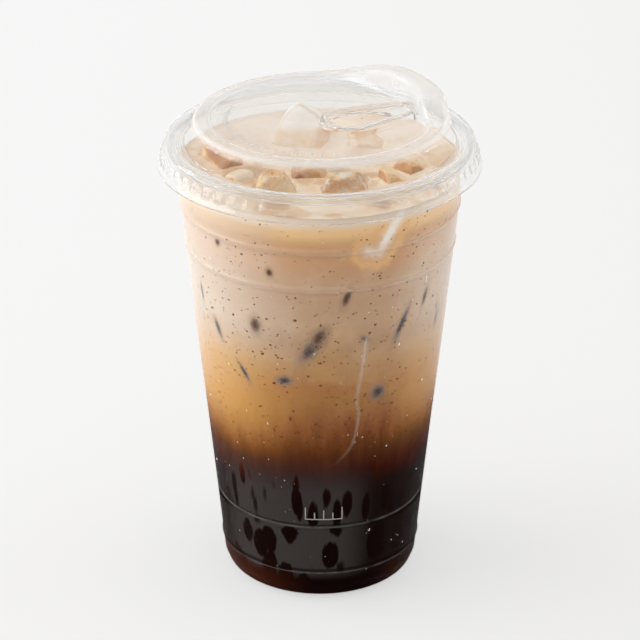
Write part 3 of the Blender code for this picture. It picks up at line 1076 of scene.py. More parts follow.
@dataclass
class Cup:
    """The clear cup: a cone with four rings, a rolled rim, a rounded heel and a pushed-up base.

    Each ring has its height, its depth, inwards below zero, and half its height, in millimetres.
    The even rows end a little over the heel, and each ring's own rows overlap its edges.
    """

    foot_radius: float = 32.1 * MM
    taper: float = 0.0995
    sheet: float = 0.5 * MM
    rings: tuple[Triple, ...] = (
        (132.2, 0.45, 1.3), (118.8, 0.45, 1.3), (28.7, -0.70, 1.2), (10.9, 0.35, 1.1),
    )
    wall_top: float = 149.6 * MM
    curl_height: float = 151.0 * MM
    curl_radius: float = 0.8 * MM
    heel_radius: float = 3.8 * MM
    heel_inset: float = 0.6 * MM
    contact_width: float = 2.2 * MM
    push_up_width: float = 4.0 * MM
    push_up_height: float = 2.2 * MM
    push_up_crown: float = 2.8 * MM
    over_heel: float = 1.2 * MM
    even_rows: int = 96
    ring_rows: int = 15
    ring_overlap: float = 1.1
    closest_rows: float = 0.05 * MM
    curl_arc: Span = (-110.0, 178.0)
    curl_rows: int = 16
    columns: int = 224
    plastic: CupPlastic = CupPlastic("clear_cup_plastic", 1.32, 0.08 * MM, 0.01, 0.60)

    def wall_radius(self, height: np.ndarray) -> np.ndarray:
        """Outer radius: the cone, and at each ring its depth times (1 + cos) / 2 over its half height.

        Args:
            height: heights over the table.

        Returns:
            The radius at each height.
        """
        radius = self.foot_radius + self.taper * height
        for centre, depth, half in np.array(self.rings) * MM:
            share = np.clip((height - centre) / half, -1.0, 1.0)
            radius = radius + depth * 0.5 * (1.0 + np.cos(math.pi * share))
        return radius

    def on_wall(self, azimuth: np.ndarray, height: np.ndarray, inset: Numbers) -> np.ndarray:
        """Points (..., 3) of the wall: azimuth in radians, inset from the outer face to the axis."""
        return cylindrical(self.wall_radius(height) - inset, azimuth, height)

    def foot_outline(self) -> np.ndarray:
        """The heel's quarter circle, the flat contact ring and the push-up, in to the axis.

        Returns:
            Points (n, 2).
        """
        centre = self.foot_radius + self.taper * self.heel_radius - self.heel_inset - self.heel_radius
        inner = centre - self.contact_width
        rise = through_points([
            (inner, 0.0),
            (inner - 0.35 * self.push_up_width, 0.35 * self.push_up_height),
            (inner - self.push_up_width, self.push_up_height),
            (inner - 2.2 * self.push_up_width, 0.5 * (self.push_up_height + self.push_up_crown)),
            (0.0, self.push_up_crown),
        ], 5)
        return np.vstack([arc((centre, self.heel_radius), self.heel_radius, 0.0, -90.0, 12), rise])

    def outer_outline(self) -> np.ndarray:
        """The outer face, from the rolled rim down the wall to the axis, with more rows at the rings.

        Returns:
            Points (n, 2).
        """
        height = [np.linspace(self.wall_top, self.heel_radius + self.over_heel, self.even_rows)]
        span = np.linspace(-self.ring_overlap, self.ring_overlap, self.ring_rows)
        height += [centre + half * span for centre, _, half in np.array(self.rings) * MM]
        height = np.sort(np.concatenate(height))[::-1]
        height = height[np.append(True, np.diff(height) < -self.closest_rows)]
        curl_centre = self.foot_radius + self.taper * self.curl_height + self.curl_radius
        curl = arc((curl_centre, self.curl_height), self.curl_radius, *self.curl_arc, self.curl_rows)
        return np.vstack([curl, np.stack([self.wall_radius(height), height], axis=1), self.foot_outline()])

    def build(self) -> None:
        """Make the shell: the inner face from the axis up, the rim's end, and the outer face down."""
        outer = self.outer_outline()
        outline = np.vstack([parallel(outer, self.sheet)[::-1], outer])
        grid = cylindrical(outline[1:-1, :1], whole_turn(self.columns), outline[1:-1, 1:])
        mesh = capped_mesh("cup_shell", grid, outline[0, 1], outline[-1, 1])
        add_piece(mesh, "clear_cup_plastic", self.plastic, replaced=["cup"])


# ---------------------------------------------------------------- ice

@dataclass(frozen=True)
class IceBlock:
    """One melting block: centre and edge lengths in millimetres, turn in degrees, and its look.

    Melt is the share of its width and depth that the upper face has kept. Tones run from 0 for a
    pale milky film to 1 for coffee, on the -X, +X, -Y, +Y, -Z and +Z faces.
    """

    node: str
    centre: Triple
    size: Triple
    turn: Triple
    melt: Span
    tones: tuple[float, ...]
    film: float = 0.74
    crackle: float = 0.1
    frost: float = 0.0

    def matrix(self) -> np.ndarray:
        """The block's rotation."""
        return np.array(Euler([math.radians(angle) for angle in self.turn]).to_matrix())

    def kept(self, height: np.ndarray) -> np.ndarray:
        """Shares (..., 3) of the width, depth and height that are left at a height over the centre."""
        share = np.clip(height / (self.size[2] * MM) + 0.5, 0.0, 1.0)[..., None]
        return 1.0 + (np.array([*self.melt, 1.0]) - 1.0) * share

    def reach(self, points: np.ndarray) -> np.ndarray:
        """How far points stand outside the block: the largest of |q| - half over its own axes.

        Args:
            points: points (..., 3) in metres.

        Returns:
            The signed distance in metres, below zero inside.
        """
        local = (points - np.array(self.centre) * MM) @ self.matrix()
        half = np.array(self.size) * (MM / 2.0) * self.kept(local[..., 2])
        return np.max(np.abs(local) - half, axis=-1)


@dataclass
class Ice:
    """All blocks that stand out of the surface, with melted edges and dished faces.

    A dent is a sine along one axis times a sine along another: each an axis and the radians for
    each millimetre.
    """

    blocks: tuple[IceBlock, ...] = (
        IceBlock("ice_back", (-4.9, 22.8, 143.9), (17, 20, 14), (39.2, 11.4, -16.3), (1.0, 0.95),
                 (0.30, 0.45, 0.40, 0.3, 0.3, 0.22), 0.80, 0.10, 1.0),
        IceBlock("ice_left", (-31.6, 4.6, 140.3), (10.5, 17, 15), (6, -4, 32), (0.98, 0.99),
                 (0.50, 0.7, 0.80, 0.7, 0.7, 0.48), 0.90),
        IceBlock("ice_left_low", (-25.6, -10.2, 140.0), (9.5, 9, 12), (4, -6, 40), (0.9, 0.9),
                 (0.40, 0.2, 0.35, 0.2, 0.2, 0.15)),
        IceBlock("ice_front_left", (-14.0, -21.2, 141.0), (19.5, 10, 17), (4, 4, 2), (0.60, 0.66),
                 (0.55, 0.1, 0.60, 0.4, 0.4, 0.45), 0.80, 0.35),
        IceBlock("ice_front_centre", (-3.4, -8.0, 141.6), (12.5, 9, 12), (10, 0, 0), (0.95, 0.95),
                 (0.70, 0.7, 0.95, 0.7, 0.7, 0.55), 0.86),
        IceBlock("ice_front_right", (7.8, -21.8, 141.0), (20, 10.6, 17), (4, -2, 4), (0.64, 0.62),
                 (0.55, 0.3, 0.42, 0.3, 0.3, 0.22), 0.76, 0.70),
        IceBlock("ice_right", (22.6, -12.6, 140.4), (7.5, 8.6, 13), (-4, 4, 30), (0.9, 0.9),
                 (0.70, 0.4, 0.45, 0.3, 0.3, 0.25)),
        IceBlock("ice_far_right", (29.0, -2.8, 140.6), (12, 10.5, 13), (6, 6, 45), (0.85, 0.85),
                 (0.70, 0.6, 0.75, 0.5, 0.5, 0.45), 0.84),
        IceBlock("ice_centre", (15.0, 17.0, 140.6), (13, 10, 11), (6, 6, -8), (0.95, 0.95),
                 (0.55, 0.5, 0.55, 0.5, 0.5, 0.45)),
    )
    sharpness: float = 14.0
    cuts: int = 6
    cut_reach: Span = (0.66, 0.82)
    cut_tones: Span = (-0.40, 0.35)
    dents: tuple[tuple[int, float, int, float], ...] = (
        (0, 0.42, 1, 0.38), (1, 0.55, 2, 0.46), (2, 0.85, 0, 0.75),
    )
    melted_off: float = 0.14 * MM
    dent_depth: float = 0.20 * MM
    ridge_width: float = 0.85
    steps: int = 26
    same_corner: float = 0.002 * MM
    seed: int = 11

    def planes(self, block: IceBlock) -> tuple[np.ndarray, np.ndarray, np.ndarray]:
        """Planes that bound a block in its own unit cube: its six sides, and seeded cuts off its edges.

        Args:
            block: the block.

        Returns:
            Unit normals, distances from the centre, and tones.
        """
        draw = np.random.default_rng([self.seed, *block.node.encode()])
        cuts = draw.normal(0.0, 1.0, (self.cuts, 3))
        cuts[:, 2] = np.abs(cuts[:, 2]) * 0.8 + 0.15
        cuts /= np.linalg.norm(cuts, axis=1, keepdims=True)
        reach = np.maximum(np.abs(cuts).sum(axis=1) * draw.uniform(*self.cut_reach, self.cuts), 1.0)
        tone = np.mean(block.tones) + draw.uniform(*self.cut_tones, self.cuts)
        normals = np.concatenate([-np.eye(3), np.eye(3), cuts])
        tones = np.concatenate([block.tones[0::2], block.tones[1::2], tone])
        return normals, np.concatenate([np.ones(6), reach]), tones

    def block_mesh(self, block: IceBlock) -> bpy.types.Mesh:
        """A melted block with facets: a smooth meeting of planes, dented by sums of sines.

        A point of the unit cube is scaled by (sum of (n.p / d) ^ k) ^ (-1 / k) over the planes, so
        that it lands on the nearest plane, with edges that are rounder the smaller k is.

        Args:
            block: the block to make.

        Returns:
            Its mesh, in place, marked with its tones and its ridges.
        """
        normals, distance, tones = self.planes(block)
        lines = np.sin(np.linspace(-0.5, 0.5, self.steps) * math.pi)
        face = np.stack(np.meshgrid(lines, lines, indexing="ij"), axis=-1).reshape(-1, 2)
        sides = [(axis, sign) for axis in range(3) for sign in (-1.0, 1.0)]
        cube = np.concatenate([np.insert(face, axis, sign, axis=1) for axis, sign in sides])
        pull = np.maximum(cube @ normals.T / distance, 0.0) ** self.sharpness
        total = pull.sum(axis=1, keepdims=True)
        local = cube * total ** (-1.0 / self.sharpness) * np.array(block.size) * (MM / 2.0)
        share = (pull / total) ** 2
        share /= share.sum(axis=1, keepdims=True)
        phases = np.random.default_rng([self.seed, *block.node.encode(), 1]).uniform(0.0, math.tau, (3, 2))
        line = (local / MM).T
        waves = sum(np.sin(line[a] * along + start) * np.sin(line[b] * across + turn)
                    for (a, along, b, across), (start, turn) in zip(self.dents, phases))
        away = local / np.linalg.norm(local, axis=1, keepdims=True)
        local = local - away * (self.melted_off + self.dent_depth * waves)[:, None]
        placed = (local * block.kept(local[:, 2])) @ block.matrix().T + np.array(block.centre) * MM
        keys = np.round(placed / self.same_corner).astype(np.int64)
        _, first, shared = np.unique(keys, axis=0, return_index=True, return_inverse=True)
        mesh = lay_mesh(f"{block.node}_block", placed[first], shared.reshape(-1)[self.quads(placed)])
        ordered = np.sort(share, axis=1)
        ridge = 1.0 - smooth_step(0.0, self.ridge_width, ordered[:, -1] - ordered[:, -2])
        mark_points(mesh, "tone", (share @ tones)[first])
        mark_points(mesh, "ridge", ridge[first])
        return mesh

    def quads(self, placed: np.ndarray) -> np.ndarray:
        """Quads of the cube's six grids, each turned outwards.

        Args:
            placed: the corners of the grids, one after the other.

        Returns:
            Corner numbers (quads, 4).
        """
        parts = []
        for face in range(6):
            part = grid_faces(self.steps, self.steps) + face * self.steps * self.steps
            corner, side, up = placed[part[0, [0, 1, 3]]]
            outward = np.dot(np.cross(side - corner, up - corner), corner - placed.mean(axis=0)) > 0.0
            parts.append(part if outward else part[:, ::-1])
        return np.concatenate(parts)

    def build(self) -> None:
        """Make every block and let it stand for its node."""
        for block in self.blocks:
            finish = IceFinish(f"{block.node}_finish", block.film, block.frost, block.crackle)
            add_piece(self.block_mesh(block), "ice", finish, replaced=[block.node])


# ---------------------------------------------------------------- drink

@dataclass
class Drink:
    """Everything the cup holds, in one closed body that reaches just into the wall.

    A climb is how high the surface rises at a wall, and how far from it that has faded to 1 / e.
    The dip under a block starts at the pit's inset from its side and falls with the pit's slope.
    """

    cup: Cup
    ice: Ice
    fill_height: float = 143.5 * MM
    into_wall: float = 0.3 * MM
    columns: int = 288
    surface_rows: int = 76
    side_gap: float = 0.4 * MM
    ripples: Span = (0.10 * MM, 0.05 * MM)
    calm_edge: float = 1.5 * MM
    pit_inset: float = 0.3 * MM
    pit_slope: float = 1.1
    pit_depth: float = 5.5 * MM
    wall_climb: Span = (0.90 * MM, 0.9 * MM)
    ice_climb: Span = (0.45 * MM, 0.8 * MM)

    @property
    def rim(self) -> float:
        """Radius of the surface's edge, just inside the wall."""
        return float(self.cup.wall_radius(np.array(self.fill_height))) - self.into_wall

    def surface_height(self, x: np.ndarray, y: np.ndarray) -> tuple[np.ndarray, np.ndarray]:
        """Height of the open surface and how deep it dips under the ice.

        Two crossing sine waves ripple it, it climbs the wall and each block as exp(-distance), and
        inside a block it falls with the depth inside, so that the ice has no air under it.

        Args:
            x, y: where to read it.

        Returns:
            The height, and the dip's depth from 0 to 1.
        """
        level = np.stack([x, y, np.full_like(x, self.fill_height)], axis=-1)
        nearest = np.min([block.reach(level) for block in self.ice.blocks], axis=0)
        edge = self.rim - np.hypot(x, y)
        ripple = self.ripples[0] * np.sin(x / MM * 0.33 + 1.0) * np.sin(y / MM * 0.41)
        ripple = ripple + self.ripples[1] * np.sin((x + 1.4 * y) / MM * 0.72)
        climb = sum(rise * np.exp(-away / reach) for away, (rise, reach) in (
            (edge, self.wall_climb), (np.maximum(nearest, 0.0), self.ice_climb),
        ))
        dip = np.minimum(np.maximum(-nearest - self.pit_inset, 0.0) * self.pit_slope, self.pit_depth)
        fade = np.clip(edge / self.calm_edge, 0.0, 1.0)
        return self.fill_height + ripple * fade + climb - dip * fade, dip * fade / self.pit_depth

    def build(self) -> None:
        """Make the body: the open surface from its middle out, the side and the base."""
        azimuth = whole_turn(self.columns)
        share = np.linspace(0.0, 1.0, self.surface_rows + 1)[1:]
        radius = (self.rim * share)[:, None]
        x, y = radius * np.cos(azimuth), radius * np.sin(azimuth)
        height, dip = self.surface_height(x, y)
        side = parallel(self.cup.outer_outline(), self.into_wall)[self.cup.curl_rows:]
        side = side[side[:, 1] < self.fill_height - self.side_gap]
        wall = cylindrical(side[:-1, :1], azimuth, side[:-1, 1:])
        grid = np.concatenate([np.stack([x, y, height], axis=2), wall])
        centre_height, _ = self.surface_height(np.zeros(1), np.zeros(1))
        mesh = capped_mesh("drink_body", grid, float(centre_height[0]), float(side[-1, 1]))
        mark_points(mesh, "ice_pit", np.concatenate([dip.ravel(), np.zeros(len(mesh.vertices) - dip.size)]))
        number = np.arange(len(mesh.polygons))
        fan = number - (len(grid) - 1) * self.columns
        surface = (number < (self.surface_rows - 1) * self.columns) | ((fan >= 0) & (fan < self.columns))
        mesh.polygons.foreach_set("material_index", surface.astype(np.int32))
        finishes = [DrinkFinish(f"drink_{face.value}", face, self.fill_height) for face in DrinkFace]
        add_piece(mesh, "horchata_drink", *finishes, replaced=["cold_brew", "blended_layer", "horchata"])


# ---------------------------------------------------------------- what shows through the wall

@dataclass
class WallMarks:
    """The dark and grey marks of sunken ice, and a thin trail of milk, between drink and wall.

    A spot is its azimuth, height, width, length, lean, warmth and strength, in degrees and
    millimetres; its patch is larger by the spread, since its edge fades out. A trail is its width,
    its strength and its path of azimuths and heights.
    """

    cup: Cup
    inset: float = 0.27 * MM
    steps: int = 12
    ribbon: int = 7
    spread: float = 1.8
    spots: tuple[tuple[float, ...], ...] = (
        (-136.1, 129.9, 2.6, 3.4, 30, 0.9, 0.75), (-111.0, 123.9, 2.8, 3.6, 0, 1.0, 0.80),
        (-78.8, 115.9, 3.0, 8.4, 18, 1.0, 0.85), (-119.1, 103.8, 4.2, 6.6, 0, 0.75, 0.95),
        (-90.4, 101.6, 4.6, 8.6, 30, 1.0, 1.0), (-93.6, 97.6, 5.0, 14.5, 34, 0.2, 0.75),
        (-51.9, 102.3, 2.6, 13.0, 24, 0.2, 0.95), (-38.7, 109.1, 2.2, 8.0, 16, 0.1, 0.60),
        (-127.0, 84.8, 1.9, 8.0, -34, 0.1, 0.80), (-106.5, 84.8, 5.4, 3.4, -14, 0.2, 0.95),
        (-62.2, 79.1, 5.6, 6.0, 20, 0.3, 0.90), (-141.6, 97.4, 2.6, 8.2, -24, 0.3, 0.70),
        (-152.4, 107.6, 1.9, 8.0, -6, 0.4, 0.55), (-70.2, 100.0, 4.0, 2.0, 28, 0.1, 0.55),
        (-26.2, 97.7, 2.2, 7.4, 12, 0.1, 0.45),
    )
    hidden_side_spots: int = 13
    hidden_from: float = -8.0
    hidden_sweep: float = 200.0
    hidden_heights: Span = (80.0, 130.0)
    long_sizes: tuple[Span, Span] = ((1.9, 3.0), (7.0, 12.0))
    round_sizes: tuple[Span, Span] = ((3.0, 5.2), (3.4, 6.4))
    trail_width: float = 3.6 * MM
    trail_taper: float = 0.55
    trail_lift: float = 0.01 * MM
    trail_strength: float = 0.42
    trail: tuple[Span, ...] = (
        (-69.3, 101.0), (-69.6, 97.7), (-70.9, 87.9), (-72.7, 77.6), (-71.4, 71.7), (-72.9, 63.5),
        (-75.7, 58.8), (-81.1, 54.5), (-87.0, 50.9),
    )
    seed: int = 23

    def all_spots(self) -> np.ndarray:
        """The set spots and seeded ones, long or round, for the sides and the back.

        Returns:
            One row for each spot.
        """
        draw = random.Random(self.seed)
        spots = list(self.spots)
        for index in range(self.hidden_side_spots):
            share = index + draw.uniform(0.1, 0.9)
            azimuth = self.hidden_from + self.hidden_sweep * share / self.hidden_side_spots
            widths, lengths = self.long_sizes if draw.random() < 0.5 else self.round_sizes
            width, length = draw.uniform(*widths), draw.uniform(*lengths)
            height, lean = draw.uniform(*self.hidden_heights), draw.uniform(-35.0, 35.0)
            warmth, strength = draw.uniform(0.1, 0.9), draw.uniform(0.6, 0.95)
            spots.append((azimuth, height, width, length, lean, warmth, strength))
        return np.array(spots)

    def build_spots(self) -> None:
        """Make the marks: each a square grid turned by its lean and laid on the wall."""
        azimuth, height, width, length, lean, warmth, strength = self.all_spots().T[:, :, None]
        line = np.linspace(-0.5, 0.5, self.steps)
        along, across = (grid.ravel() for grid in np.meshgrid(line, line, indexing="ij"))
        side = across * width * (self.spread * MM)
        up = along * length * (self.spread * MM)
        sine, cosine = np.sin(np.radians(lean)), np.cos(np.radians(lean))
        level = height * MM + up * cosine - side * sine
        turn = np.radians(azimuth) + (side * cosine + up * sine) / self.cup.wall_radius(level)
        points = self.cup.on_wall(turn, level, self.inset)
        mesh = scattered_mesh("ice_at_the_wall", points, grid_faces(self.steps, self.steps))
        mark_uv(mesh, np.tile(np.stack([across + 0.5, along + 0.5], axis=1), (len(points), 1)))
        mark_points(mesh, "warmth", np.repeat(warmth, len(across)))
        mark_points(mesh, "strength", np.repeat(strength, len(across)))
        add_piece(mesh, "coffee_and_horchata", WallShadowFinish())

    def build_trails(self) -> None:
        """Make the trail: a tapering ribbon carried along a smooth path on the wall."""
        line = through_points(self.trail, 8)
        azimuth, height = np.radians(line[:, :1]), line[:, 1:] * MM
        heading = headings(np.hstack([azimuth * self.cup.wall_radius(height), height]))
        across = np.linspace(-0.5, 0.5, self.ribbon)
        shift = across * self.trail_width * np.linspace(1.0, self.trail_taper, len(line))[:, None]
        rise = height + heading[:, :1] * shift
        turn = azimuth - heading[:, 1:] * shift / self.cup.wall_radius(rise)
        points = self.cup.on_wall(turn, rise, self.inset - self.trail_lift)
        mesh = lay_mesh("milk_trails", points, grid_faces(len(line), self.ribbon)[:, ::-1])
        share = np.linspace(0.0, 1.0, len(line))
        mark_uv(mesh, np.stack([np.tile(across + 0.5, len(line)), np.repeat(share, self.ribbon)], axis=1))
        mark_points(mesh, "strength", np.full(len(mesh.vertices), self.trail_strength))
        add_piece(mesh, "horchata_drink", MilkTrailFinish())


@dataclass
class Cinnamon:
    """Flakes of cinnamon against the wall and on the open surface; the low ones are larger and flatter.

    A size is the median half width in millimetres, the spread of its logarithm and the largest. A
    squash is the range of height over width. Sinking is the power that draws the flakes down the
    wall, and afloat is the deepest dip of the surface that keeps its flakes.
    """

    cup: Cup
    drink: Drink
    wall_count: int = 2400
    wall_top: float = 142.0 * MM
    wall_span: float = 84.0 * MM
    wall_size: Triple = (0.25, 0.36, 0.66)
    low_below: float = 112.0 * MM
    low_growth: float = 1.35
    low_squash: Span = (0.35, 0.8)
    high_squash: Span = (0.6, 1.0)
    wall_shades: Span = (0.0, 0.4)
    sinking: float = 0.85
    inset: float = 0.24 * MM
    surface_count: int = 320
    surface_radius: float = 44.6 * MM
    surface_size: Triple = (0.20, 0.40, 0.60)
    surface_squash: Span = (0.5, 1.0)
    surface_shades: Span = (0.1, 0.8)
    afloat: float = 0.01
    crown: float = 0.22
    raggedness: Span = (0.6, 1.0)
    rim_points: int = 7
    seed: int = 5

    @cached_property
    def draw(self) -> np.random.Generator:
        """Where the random numbers come from."""
        return np.random.default_rng(self.seed)

    def flakes(self, centre: np.ndarray, axes: Sequence[np.ndarray], reach: np.ndarray,
               squash: np.ndarray) -> np.ndarray:
        """Corners of irregular lens-shaped flakes: a ragged ring, a crown over it and one under it.

        Args:
            centre: middles (flakes, 3).
            axes: directions to the right, up and out, each (flakes, 3).
            reach, squash: half the width, and the height as a share of it.

        Returns:
            Corners (flakes, corners, 3).
        """
        right, up, out = (axis[:, None] for axis in axes)
        angle = np.linspace(0.0, math.tau, self.rim_points, endpoint=False)[None]
        angle = angle + self.draw.uniform(0, 6, (len(centre), 1))
        ragged = reach[:, None] * self.draw.uniform(*self.raggedness, (len(centre), self.rim_points))
        across, along = ragged * np.cos(angle), ragged * squash[:, None] * np.sin(angle)
        ring = centre[:, None] + right * across[..., None] + up * along[..., None]
        crown = out * reach[:, None, None] * self.crown
        return np.concatenate([ring, centre[:, None] + crown, centre[:, None] - crown], axis=1)

    def on_wall(self) -> np.ndarray:
        """Flakes against the wall, fewer high up.

        Returns:
            Corners (flakes, corners, 3).
        """
        draw, count = self.draw, self.wall_count
        height = self.wall_top - self.wall_span * draw.uniform(0.0, 1.0, count) ** self.sinking
        low = height < self.low_below
        azimuth = draw.uniform(0.0, math.tau, count)
        axes = (cylindrical(1.0, azimuth + math.pi / 2.0, 0.0), np.tile(np.eye(3)[2], (count, 1)),
                cylindrical(1.0, azimuth, 0.0))
        reach = log_normal(draw, self.wall_size, np.where(low, self.low_growth, 1.0))
        squash = np.where(low, draw.uniform(*self.low_squash, count), draw.uniform(*self.high_squash, count))
        return self.flakes(self.cup.on_wall(azimuth, height, self.inset), axes, reach, squash)

    def on_surface(self) -> np.ndarray:
        """Loose flakes that float between the blocks.

        Returns:
            Corners (flakes, corners, 3).
        """
        draw = self.draw
        radius = self.surface_radius * np.sqrt(draw.uniform(0.0, 1.0, self.surface_count))
        turn = draw.uniform(0.0, math.tau, self.surface_count)
        x, y = radius * np.cos(turn), radius * np.sin(turn)
        z, dip = self.drink.surface_height(x, y)
        centre = np.stack([x, y, z], axis=1)[dip < self.afloat]
        axes = [np.tile(axis, (len(centre), 1)) for axis in np.eye(3)]
        reach = log_normal(draw, self.surface_size, np.ones(len(centre)))
        return self.flakes(centre, axes, reach, draw.uniform(*self.surface_squash, len(centre)))

    def build(self) -> None:
        """Scatter the flakes, each with its shade."""
        wall, surface, rim = self.on_wall(), self.on_surface(), np.arange(self.rim_points)
        faces = fan_faces(self.rim_points, rim), fan_faces(self.rim_points + 1, rim)[:, ::-1]
        mesh = scattered_mesh("cinnamon_specks", np.concatenate([wall, surface]), np.concatenate(faces))
        shade = np.concatenate([self.draw.uniform(*shades, len(flakes)) for shades, flakes in (
            (self.wall_shades, wall), (self.surface_shades, surface),
        )])
        mark_points(mesh, "shade", np.repeat(shade, self.rim_points + 2))
        add_piece(mesh, "horchata_drink", CinnamonFinish())


# ---------------------------------------------------------------- on the outside of the wall

@dataclass
class Condensation:
    """Beads of water and short runs on the outside of the cold wall.

    Their ranges are in millimetres. The beads' size is their median half width, the spread of its
    logarithm and the largest.
    """

    cup: Cup
    beads: int = 340
    bead_heights: Span = (8.0, 141.0)
    bead_size: Triple = (0.19, 0.40, 0.50)
    bead_stretch: float = 1.15
    bead_rise: float = 0.45
    runs: int = 12
    run_heights: Span = (50.0, 120.0)
    run_lengths: Span = (0.8, 2.4)
    run_widths: Span = (0.14, 0.26)
    run_rise: float = 0.6
    rings: int = 3
    sides: int = 10
    sunk: float = 0.06 * MM
    seed: int = 41

    def domes(self, azimuth: np.ndarray, height: np.ndarray, half_width: np.ndarray,
              half_length: np.ndarray, proud: np.ndarray) -> np.ndarray:
        """Ellipsoid caps: rings at cos and sin of the rise angle, the lowest sunk into the wall.

        Args:
            azimuth, height: middles on the wall, each (caps, 1) like the sizes.
            half_width, half_length, proud: half sizes along the wall, and height over it.

        Returns:
            Corners (caps, corners, 3): the rings, the crown and the sunk middle.
        """
        rise = np.linspace(0.0, 1.0, self.rings + 1)[:-1] * (math.pi / 2.0)
        angle = whole_turn(self.sides)
        reach = np.cos(rise)[:, None]
        level = height + (reach * np.sin(angle)).ravel() * half_length
        turn = azimuth + (reach * np.cos(angle)).ravel() * half_width / self.cup.wall_radius(level)
        lift = np.repeat(np.sin(rise), self.sides) * proud
        return np.concatenate([
            self.cup.on_wall(turn, level, self.sunk - lift),
            self.cup.on_wall(azimuth, height, self.sunk - proud),
            self.cup.on_wall(azimuth, height, self.sunk),
        ], axis=1)

    def build(self) -> None:
        """Scatter the beads and the runs."""
        draw = np.random.default_rng(self.seed)
        height = draw.uniform(*self.bead_heights, self.beads) * MM
        azimuth = draw.uniform(0.0, math.tau, self.beads)
        radius = log_normal(draw, self.bead_size, np.ones(self.beads))
        run_height = draw.uniform(*self.run_heights, self.runs) * MM
        run_azimuth = draw.uniform(0.0, math.tau, self.runs)
        run_length = draw.uniform(*self.run_lengths, self.runs) * MM
        run_width = draw.uniform(*self.run_widths, self.runs) * MM
        copies = self.domes(*(np.concatenate(pair)[:, None] for pair in (
            (azimuth, run_azimuth), (height, run_height), (radius, run_width),
            (radius * self.bead_stretch, run_length), (radius * self.bead_rise, run_width * self.run_rise),
        )))
        count, foot = self.rings * self.sides, np.arange(self.sides)
        fans = fan_faces(count, foot + count - self.sides), fan_faces(count + 1, foot)[:, ::-1]
        quads = grid_faces(self.rings, self.sides, wrap_columns=True)
        mesh = scattered_mesh("condensation", copies, quads, np.concatenate(fans))
        add_piece(mesh, "clear_cup_plastic", WaterFinish())


@dataclass
class FillMark:
    """A plain printed fill scale: a base line with five upright strokes.

    Each stroke has its place, from -1 to 1 along the line, and its height in millimetres.
    """

    cup: Cup
    low: float = 32.2 * MM
    half_span: float = 6.0 * MM
    centre_x: float = 1.2 * MM
    stroke: float = 0.40 * MM
    proud: float = 0.03 * MM
    columns: int = 10
    strokes: tuple[Span, ...] = ((-1.0, 4.6), (-0.5, 2.6), (0.0, 3.6), (0.5, 2.6), (1.0, 4.6))

    def bar(self, left: float, right: float, low: float, high: float) -> np.ndarray:
        """Closed plate on the wall: a strip of x positions by two heights, out and back.

        Args:
            left, right: x half a stroke inside its ends.
            low, high: heights of its edges.

        Returns:
            Corners (corners, 3).
        """
        half = self.stroke / 2.0
        across = np.linspace(left - half, right + half, self.columns)[None]
        height = np.array([low, high, high, low])[:, None]
        radius = self.cup.wall_radius(height) + np.array([1.0, 1.0, -1.0, -1.0])[:, None] * self.proud
        depth = -np.sqrt(radius ** 2 - across ** 2)
        return np.stack(np.broadcast_arrays(across, depth, height), axis=2).reshape(-1, 3)

    def build(self) -> None:
        """Make the bars."""
        half = self.stroke / 2.0
        line = (self.centre_x - self.half_span, self.centre_x + self.half_span)
        bars = [self.bar(*line, self.low - half, self.low + half)]
        for share, rise in self.strokes:
            middle = self.centre_x + share * self.half_span
            bars.append(self.bar(middle, middle, self.low + half, self.low + rise * MM))
        rows = np.arange(4) * self.columns
        ends = np.array([rows[::-1], rows + self.columns - 1])
        quads = np.concatenate([grid_faces(4, self.columns, wrap_rows=True), ends])
        add_piece(scattered_mesh("fill_mark", np.array(bars), quads), "clear_cup_plastic", PrintFinish())


# ---------------------------------------------------------------- lid

def drop_distance(points: np.ndarray, wide: Triple, narrow: Triple) -> np.ndarray:
    """Signed distance to a drop, the hull of two circles, below zero inside.

    In the frame of the line between the centres, a point is nearest the wide circle, the narrow
    circle or the belt between them, as its place along the belt's normal says.

    Args:
        points: points (..., 2).
        wide, narrow: x, y and radius of the circles.

    Returns:
        The distance.
    """
    span = np.array(narrow[:2]) - np.array(wide[:2])
    length = float(np.linalg.norm(span))
    offset = points - np.array(wide[:2])
    along = offset @ (span / length)
    side = np.abs(offset @ (np.array([-span[1], span[0]]) / length))
    slope = (wide[2] - narrow[2]) / length
    flank = math.sqrt(1.0 - slope * slope)
    place = flank * along - slope * side
    by_wide = np.hypot(side, along) - wide[2]
    by_narrow = np.hypot(side, along - length) - narrow[2]
    by_belt = flank * side + slope * along - wide[2]
    return np.where(place < 0.0, by_wide, np.where(place > flank * length, by_narrow, by_belt))


